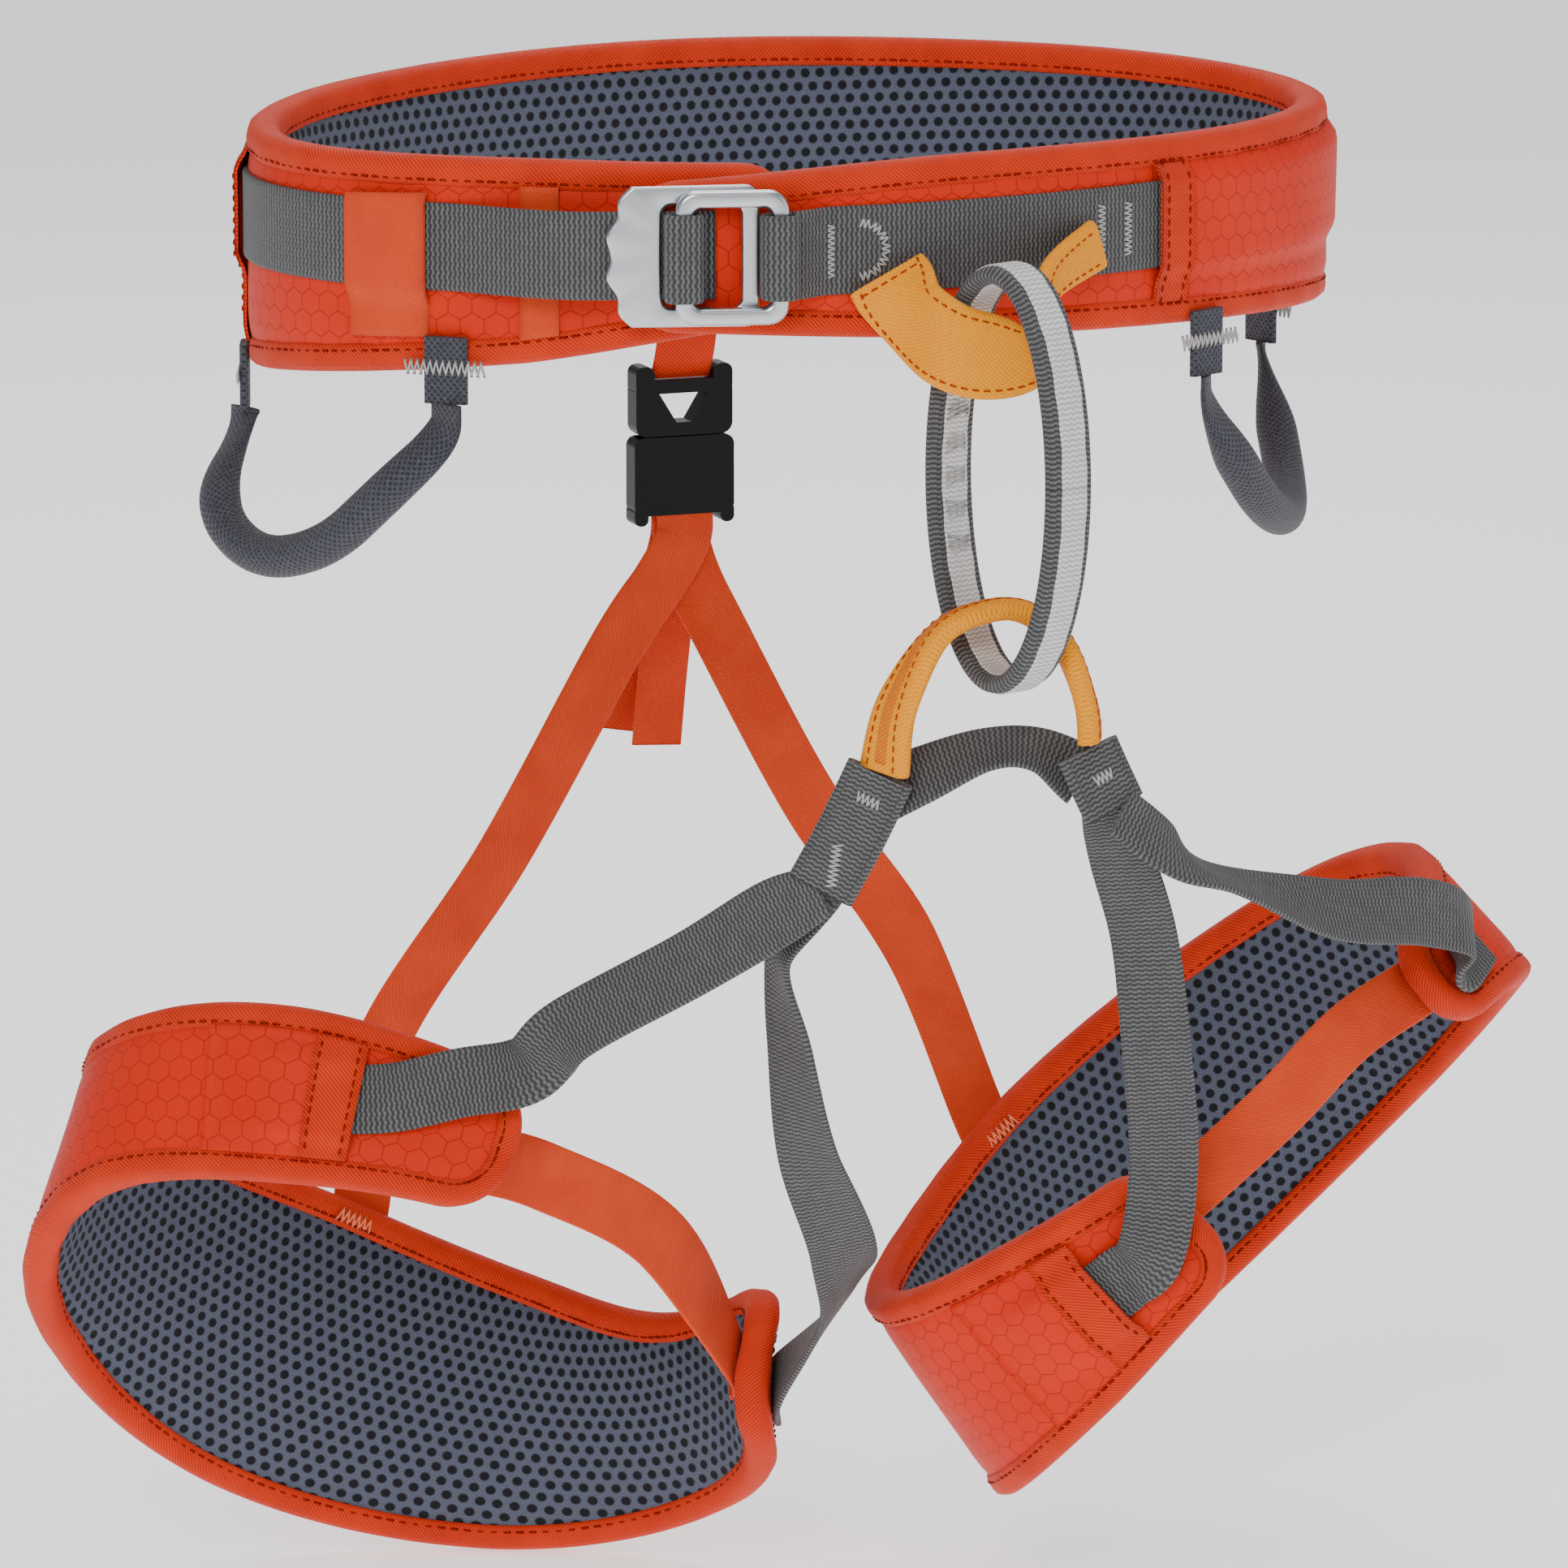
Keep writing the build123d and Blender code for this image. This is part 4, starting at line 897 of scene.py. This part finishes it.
# each tack: the station it is on, its length and width, and how far it runs across and down
blockTackPlaces = {"right": ((7, 7.0, 4.0, (1, 0)), (21, 13.0, 3.2, (0.35, 1))),
                   "left": ((14, 6.0, 3.5, (1, 0)),)}
blockTacks, blockRows = [], []
for side, route in blocks.items():
    line = routeStations(route, 20.0)
    made = strapMesh(side + "Joint", line, 4.2, greyWebbing, "belt")
    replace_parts(made, side + "_leg_sewn_joint")
    blockRows += [rowAlong(line, edge, 2.2, 2.1) for edge in (-1, 1)]
    for i, length, width, (cross, down) in blockTackPlaces[side]:
        middle, over, out = (part[i] for part in line[:3])
        way = over * cross + np.cross(over, out) * down
        blockTacks.append(barTack(middle + out * 2.15, way, out, length, width))
tackMesh("jointTacks", blockTacks, tackThread, "belt")
stitchMesh("jointStitches", blockRows, 2.2, 0.7, 0.4, darkThread, "belt")
bridge = [((-27, -120.5, -158), viewFace), ((-15, -127, -152), (-0.3, -0.7, 0.6)),
          ((2, -136, -144), (0.0, -0.5, 0.85)), ((15, -142, -144), (0.1, -0.6, 0.75)),
          ((27, -146.5, -152), leftFace)]
made = strapMesh("legBridge", routeStations(bridge, 18.0), 2.0, greyWebbing, "belt")
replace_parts(made, "leg_bridge_webbing")
print("tie-in points and belay loop made")

# The gear loops: a braided tube that flattens where it is sewn to the belt.
# The ends are two angles round the belt, then two heights.
gear = {"radius": 6.1, "flatWide": 6.8, "flatHalf": 1.3, "tab": 17.0, "gap": 2.0, "straight": 9.0,
        "tabLift": 6.2, "tabWidth": 13.0, "tabThickness": 2.6, "around": 28,
        "rightMiddle": [(-147, -52, -74), (-157, -33, -92), (-168, -6, -99), (-173, 17, -86)],
        "leftMiddle": [(101, -92, -74), (120, -74, -93), (143, -44, -103), (158, -12, -94)],
        "rightEnds": (305.5, 254.0, -37, -50), "leftEnds": (32.4, 99.6, -38, -50)}


# cuts each corner of a line, again and again, until it is smooth
def roundCorners(line, times=4):
    for _ in range(times):
        a, b = line[:-1], line[1:]
        cut = np.stack([a * 0.75 + b * 0.25, a * 0.25 + b * 0.75], 1).reshape(-1, 3)
        line = np.concatenate([line[:1], cut, line[-1:]])
    marks = distances(line)
    dense = np.linspace(0, marks[-1], 150)
    return np.stack([np.interp(dense, marks, line[:, k]) for k in range(3)], -1)


# a tube of oval section along a line that lies near one plane
def ovalTube(name, line, plane, wide, thick, material, body):
    ways = unit(np.gradient(line, axis=0))
    sides = unit(np.cross(ways, plane))
    outs = np.cross(sides, ways)
    around, count = gear["around"], len(line)
    turns = np.linspace(0, 2 * np.pi, around + 1)
    points = (line[:, None] + sides[:, None] * (wide[:, None] * np.cos(turns))[..., None]
              + outs[:, None] * (thick[:, None] * np.sin(turns))[..., None])
    uv = np.stack(np.broadcast_arrays(distances(line)[:, None], turns * 5.5), -1)
    caps = [list(range(around)), [(count - 1) * (around + 1) + k for k in range(around)][::-1]]
    made = makeMesh(name, points, gridQuads(count, around + 1), caps, material, body, uv)
    return made


for side in ("right", "left"):
    front, back, frontHeight, backHeight = gear[side + "Ends"]
    tops = [beltSpot(front, frontHeight, gear["tabLift"]), beltSpot(back, backHeight, gear["tabLift"])]
    drop = np.array([0, 0, gear["tab"] / 2 + gear["gap"]])
    below = np.array([0, 0, gear["straight"]])
    backBelow = below / 3
    ends = [top - drop for top in tops]
    line = roundCorners(np.array([ends[0], ends[0] - below, *gear[side + "Middle"], ends[1] - backBelow,
                                  ends[1]], float))
    reach = distances(line)
    share = softStep(2, 34, np.minimum(reach, reach[-1] - reach))
    plane = unit(np.cross(ends[1] - ends[0], upwards))
    wide = gear["flatWide"] + (gear["radius"] - gear["flatWide"]) * share
    thick = gear["flatHalf"] + (gear["radius"] - gear["flatHalf"]) * share
    tube = ovalTube(side + "GearLoop", line, plane, wide, thick, braidCloth, side + "_gear_loop")
    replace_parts(tube, side + "_gear_loop_sleeve", side + "_gear_loop_core")
    tackRows = []
    for i, (angle, top) in enumerate(zip((front, back), tops)):
        heights = np.linspace(gear["tab"] / 2, -gear["tab"] / 2 - gear["gap"] + 0.1, 12)
        middles = top + upwards * heights[:, None]
        outs = np.tile(beltFace(angle), (12, 1))
        sideways = np.cross(outs, upwards)
        stations = middles, sideways, outs, np.full(12, gear["tabWidth"])
        tab = strapMesh(f"{side}GearTab{i}", stations, gear["tabThickness"], braidCloth, "belt")
        tackRows.append(barTack(top + outs[0] * 1.5, sideways[0], outs[0], 24.0, 4.8, 0.95))
    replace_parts(tab, side + "_gear_loop_tabs")
    made = tackMesh(side + "GearTacks", tackRows, tackThread, "belt")
    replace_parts(made, side + "_gear_loop_bar_tacks")
print("gear loops made")

# The leg loops. Each is an oval in a tilted plane. A band row is an angle, a width and two leans.
legs = {"right": {"origin": (-108, 23, -317.5), "long": (0.88, -0.03, -0.48), "normal": (0.417, 0.537, 0.733),
                  "halfLength": 110.0, "halfDepth": 80.0, "endRound": 18.0,
                  "band": [(-30, 48, 0.10, -0.05), (10, 62, -0.06, 0.03), (50, 87, -0.10, 0.05),
                           (90, 95, 0.08, 0.0), (125, 78, 0.34, 0.05), (180, 54, 0.48, 0.36),
                           (225, 51, 0.15, 0.34), (261, 42, 0.0, 0.28)]},
        "left": {"origin": (113, -54, -290), "long": (0.739, -0.17, 0.653), "normal": (-0.584, 0.324, 0.745),
                 "halfLength": 104.0, "halfDepth": 72.0, "endRound": 14.5,
                 "band": [(-42, 34, -0.45, 0.35), (-6, 48, -0.80, 0.45), (50, 77, -0.40, 0.12),
                          (106, 94, -0.40, 0.10), (150, 84, -0.54, 0.13), (189, 72, -0.66, 0.16),
                          (230, 58, -0.48, 0.10), (262, 44, -0.22, 0.03)]}}


# middles, directions across, outward directions and widths at angles round a leg loop
def legParts(leg, angles):
    normal = unit(np.array(leg["normal"]))
    long = np.array(leg["long"], float)
    long = unit(long - normal * (long @ normal))
    short = np.cross(normal, long)

    def middle(a):
        turn = np.radians(a)
        local = np.stack([leg["halfLength"] * np.cos(turn), leg["halfDepth"] * np.sin(turn), 0 * turn], -1)
        return np.array(leg["origin"], float) + local @ np.stack([long, short, normal])

    ways = unit(middle(angles + 1) - middle(angles - 1))
    width, leanX, leanY = smoothAt(leg["band"], angles).T
    across = np.stack([leanX, leanY, np.ones_like(leanX)], -1)
    across = unit(across - ways * np.einsum("ij,ij->i", across, ways)[:, None])
    return middle(angles), across, np.cross(ways, across), width


def onLeg(side, angle, height, lift):
    middle, across, out, _ = (part[0] for part in legParts(legs[side], np.array([float(angle)])))
    return middle + across * height + out * lift, out


pads = {}
for side, leg in legs.items():
    angles = np.linspace(leg["band"][0][0], leg["band"][-1][0], 420)
    middles, across, outs, width = legParts(leg, angles)
    pad = Pad(side + "LegPad", side + "_leg_loop", angles, middles, across, outs, width / 2, leg["endRound"])
    pads[side] = pad
    prefix = side + "_leg_"
    padBody(pad, prefix + "mesh_lining", prefix + "foam_core", prefix + "outer_shell")
    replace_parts(padTape(side + "LegTape", pad), prefix + "edge_binding")
    padStitches(pad)
print("leg pads made")

strapLift = 6.4
legStraps = {
    "rightOuterStrap": ("right", "right_leg_outer_strap",
                        [((-40.6, -115.6, -185.2), viewFace), ((-50, -105, -193), (-0.4, -0.85, 0.35)),
                         ((-68, -86, -210), (-0.35, -0.8, 0.5)), ((-94, -62, -231), (-0.3, -0.8, 0.5)),
                         onLeg("right", 257, 22, strapLift + 6), onLeg("right", 249, 13, strapLift + 3),
                         onLeg("right", 240, 4, strapLift), onLeg("right", 231, 0, strapLift - 0.4)]),
    "rightInnerStrap": ("right", "right_leg_inner_strap",
                        [((-38.0, -110.5, -185.5), viewFace), ((-44, -95, -205), (-0.95, 0.1, 0.0)),
                         ((-38, -90, -237), (-0.95, -0.3, 0.1)), ((-28, -80, -271), (-0.75, -0.65, 0.1)),
                         ((-10, -65, -305), (-0.35, -0.93, 0.1)), ((-2, -42, -328), (0.5, -0.85, 0.0)),
                         onLeg("right", -24, -6, strapLift + 1.5), onLeg("right", -14, -6, strapLift + 0.5)]),
    "leftInnerStrap": ("left", "left_leg_inner_strap",
                       [((32.6, -150.8, -160.2), (-0.4, -0.9, 0.1)), ((41, -144, -178), (-0.7, -0.7, 0.1)),
                        ((51, -138, -203), (-0.65, -0.75, 0.1)), ((57, -134, -236), (-0.5, -0.85, 0.05)),
                        ((64, -125, -272), (-0.4, -0.9, 0.0)), onLeg("left", 253, 2, strapLift + 3.5),
                        onLeg("left", 246, 0, strapLift), onLeg("left", 238, 0, strapLift - 0.4)]),
    "leftOuterStrap": ("left", "left_leg_outer_strap",
                       [((33.6, -158.2, -160.4), (0.3, -0.9, 0.2)), ((48, -159, -172), (0.3, -0.7, 0.65)),
                        ((67, -154, -183), (-0.1, -0.3, 0.95)), ((108, -143, -198), (-0.3, -0.75, 0.6)),
                        ((143, -132, -204), (-0.1, -0.9, 0.3)), ((163, -124, -212), (0.7, -0.6, 0.3)),
                        onLeg("left", -34, 0, strapLift + 1), onLeg("left", -24, 0, strapLift)])}
for name, (side, node, route) in legStraps.items():
    line = routeStations(route, [15] + [20] * (len(route) - 1))
    made = strapMesh(name, line, 2.0, greyWebbing, side + "_leg_loop")
    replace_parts(made, node)

elasticRest = -7.2
elastics = {
    "right": (20, [onLeg("right", 250, -4, elasticRest), onLeg("right", 256, -4, elasticRest),
                   ((-90, -32, -282), (-0.2, -0.9, 0.2)), ((-52, -26, -305), (-0.1, -0.95, 0.3)),
                   onLeg("right", -27, -2, elasticRest), onLeg("right", -21, -2, elasticRest)]),
    "left": (18, [onLeg("left", 252, 4, elasticRest), onLeg("left", 258, 4, elasticRest),
                  ((106, -112, -264), (0.0, -0.9, 0.4)), ((130, -112, -243), (0.0, -0.9, 0.4)),
                  onLeg("left", -38, 0, elasticRest), onLeg("left", -33, 0, elasticRest)])}
for side, (width, route) in elastics.items():
    made = strapMesh(side + "LegElastic", routeStations(route, width), 1.5, coralCloth, side + "_leg_loop")
    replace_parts(made, side + "_leg_elastic")

# hem of the tunnel that each strap runs into, and the raised cover behind it
tunnel = {"right": 236.0, "left": 244.0, "rest": 5.5, "top": 8.6, "cover": 27, "hem": 9}
for side in ("right", "left"):
    pad, angle = pads[side], tunnel[side]
    s = pad.alongAt

    def tunnelLift(along, heights):
        near = 1 - softStep(10, 16, np.abs(heights))
        fade = softStep(s(angle - 26), s(angle - 9), along)
        return tunnel["rest"] + (tunnel["top"] - tunnel["rest"]) * near * fade

    def tunnelHemLift(along, heights):
        return tunnelLift(along, heights) + 0.9

    low, high = insideTape(pad, -1, 0.8), insideTape(pad, 1, 0.8)
    padPatch(side + "LegCover", pad, s(angle - tunnel["cover"]), s(angle - 4), low, high, tunnelLift, 1.0,
             shellCloth, "shell_ripstop")
    padPatch(side + "LegHem", pad, s(angle - tunnel["hem"]), s(angle - 1), low, high, tunnelHemLift, 1.1,
             bindingCloth, "binding_twill", side + "_leg_tunnel_hem")
    rows = [rowAcross(pad, s(a), -14, 15, tunnelHemLift) for a in (angle - 8, angle - 2.2)]
    made = stitchMesh(side + "HemStitches", rows, **hemStitch, material=orangeThread, body=pad.body)

# The rear buckle, risers and tails. The first riser and tail points leave the buckle's lower end.
rear = {"angle": 174.3, "out": 12.0, "bottom": -117.4, "pitch": 2.5, "hangerRest": 5.9, "riserRest": 2.3}
rearAngle = np.array([rear["angle"]])
rearOrigin, rearOut = beltPoint(rearAngle, 0.0, np.array([rear["out"]]))[0], beltOut(rearAngle)[0]
rearAlong = np.cross(upwards, rearOut)
riserLift = padding["half"] + rear["riserRest"]


def behind(x, y, z):
    return rearOrigin + rearAlong * x + upwards * y + rearOut * z


def fromBuckle(layer):
    out = (layer - 1.2) * rear["pitch"]
    return [(behind(0, rear["bottom"] - dropped, out), rearOut) for dropped in (-2.5, 7)]


# half the pad's width where each riser meets it
def riseAt(side, angle):
    return smoothAt(legs[side]["band"], np.array([angle]))[0, 0] / 2


rightRise, leftRise = riseAt("right", 85.0), riseAt("left", 115.0)
risers = {
    "rightRiser": ("right_riser", 18, fromBuckle(0) + [
        ((9, 112, -137), (0.1, 0.99, 0.05)), ((-6, 112, -157), (0.1, 0.99, 0.1)),
        ((-45, 108, -217), (0.1, 0.98, 0.2)), ((-88, 102, -272), (0.1, 0.98, 0.2)),
        onLeg("right", 85, rightRise - 2, riserLift + 1), onLeg("right", 86, rightRise - 16, riserLift)]),
    "leftRiser": ("left_riser", 18, fromBuckle(1) + [
        ((20, 114, -137), (0.1, 0.98, 0.1)), ((27, 110.5, -153), (0.0, 0.98, 0.2)),
        ((47, 86, -204), (-0.1, 0.9, 0.4)), ((66, 56, -243), (-0.1, 0.85, 0.5)),
        onLeg("left", 115, leftRise - 2, riserLift + 1), onLeg("left", 116, leftRise - 16, riserLift)]),
    "rightTail": ("right_riser_tail", 16, fromBuckle(2) + [
        ((16.3, 119, -135), rearOut), ((16.5, 123.5, -150), rearOut), ((16, 128, -172), rearOut),
        ((15, 130, -192), rearOut)]),
    "leftTail": ("left_riser_tail", 16, fromBuckle(3) + [
        ((15.5, 122.5, -135), rearOut), ((13, 129.5, -150), rearOut), ((9, 135.5, -170), rearOut),
        ((6, 138, -188), rearOut)])}
for name, (node, width, route) in risers.items():
    line = routeStations(route, width)
    bends = name.endswith("Riser")
    made = strapMesh(name, line, 1.5, coralCloth, None if bends else "belt")
    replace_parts(made, node)
    if bends:
        child = node.split("_")[0] + "_leg_loop"
        line[0][20] * metre
        line[0][-24] * metre
        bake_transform(made)

hangerOut = rear["hangerRest"] - rear["out"]
hangerLine = ((-30, hangerOut), (-44, hangerOut), (-62, hangerOut), (-75.4, 0))
hanger = [(behind(0, y, out), rearOut) for y, out in hangerLine]
made = strapMesh("rearHanger", routeStations(hanger, 19.0), 1.6, bindingCloth, None)
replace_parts(made, "rear_hanger_strap")
behind(0, -52, hangerOut) * metre
behind(0, -74, 0) * metre
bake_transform(made)
for node in ("rear_buckle_male", "rear_buckle_female", "rear_buckle_right_prong", "rear_buckle_left_prong"):
    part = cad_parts[node].data
    part.materials.clear()
    part.materials.append(blackPlastic)
print("leg straps, risers and rear buckle made")

# Bar tacks on the edge tape of the leg pads, outside and inside, where the risers are sewn on.
for side, angle in (("right", 88.0), ("left", 116.0)):
    pad = pads[side]
    s = pad.alongAt(angle)
    top = pad.halfAt(s)
    rows = []
    for sign in (1, -1):
        where = pad.place(np.array([s]), np.array([top - 4.6]), np.array([sign * 5.35]))[0]
        way = pad.pick(pad.middles, np.array([s + 1]))[0] - pad.pick(pad.middles, np.array([s - 1]))[0]
        out = pad.pick(pad.outs, np.array([s]))[0] * sign
        rows.append(barTack(where, way, out, 12.0, 5.0, 0.95))
    tackMesh(side + "PadTacks", rows, salmonThread, pad.body)
print("tacks made")

# Camera, light and floor, in metres.
setup = {"azimuth": -24.0, "elevation": 11.5, "distance": 3.0, "target": (0, 0, -0.179), "lens": 233.85,
         "floorGap": 0.001, "floorHalf": 12, "floorGlow": 0.8, "world": 0.32}
a, e = np.radians(setup["azimuth"]), np.radians(setup["elevation"])
back = np.array([np.sin(a) * np.cos(e), -np.cos(a) * np.cos(e), np.sin(e)])
cameraData = bpy.data.cameras.new("camera")
cameraData.lens, cameraData.sensor_width = setup["lens"], 36.0
camera = bpy.data.objects.new("camera", cameraData)


def aim(made, place, target):
    made.location = place
    made.rotation_mode = "QUATERNION"
    made.rotation_quaternion = (Vector(target) - Vector(place)).to_track_quat("-Z", "Y")
    bpy.context.scene.collection.objects.link(made)
    return made


aim(camera, tuple(np.array(setup["target"]) + back * setup["distance"]), setup["target"])
bpy.context.scene.camera = camera
# each light: its place, its size and its watts
lights = {"key": ((-1.6, -2.2, 1.5), 1.2, 48), "fill": ((1.9, -2.0, 0.6), 2.0, 12),
          "top": ((0.2, 0.2, 2.2), 1.8, 30), "rim": ((0.8, 2.0, 1.2), 1.2, 12)}
for name, (place, size, power) in lights.items():
    data = bpy.data.lights.new(name, "AREA")
    data.size, data.energy = size, power
    aim(bpy.data.objects.new(name, data), place, (0, 0, -0.15))
world = bpy.data.worlds.new("world")
world.use_nodes = True
background = world.node_tree.nodes["Background"].inputs
background["Color"].default_value = colour(1, 1, 1)
background["Strength"].default_value = setup["world"]
bpy.context.scene.world = world
lowest, side = min(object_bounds()[0].z, cadBounds[0].z) - setup["floorGap"], setup["floorHalf"]
floorMesh = bpy.data.meshes.new("floor")
corners = [(x * side, y * side, lowest) for x, y in ((-1, -1), (1, -1), (1, 1), (-1, 1))]
floorMesh.from_pydata(corners, [], [(0, 1, 2, 3)])
floorPaint = plainFinish("floorPaint", colour(0.9, 0.9, 0.9), 0.8)
floorGlow = floorPaint.node_tree.nodes["Principled BSDF"].inputs
floorGlow["Emission Color"].default_value = colour(1, 1, 1)
floorGlow["Emission Strength"].default_value = setup["floorGlow"]
floorMesh.materials.append(floorPaint)
floor = bpy.data.objects.new("floor", floorMesh)
bpy.context.scene.collection.objects.link(floor)
print("stage made")
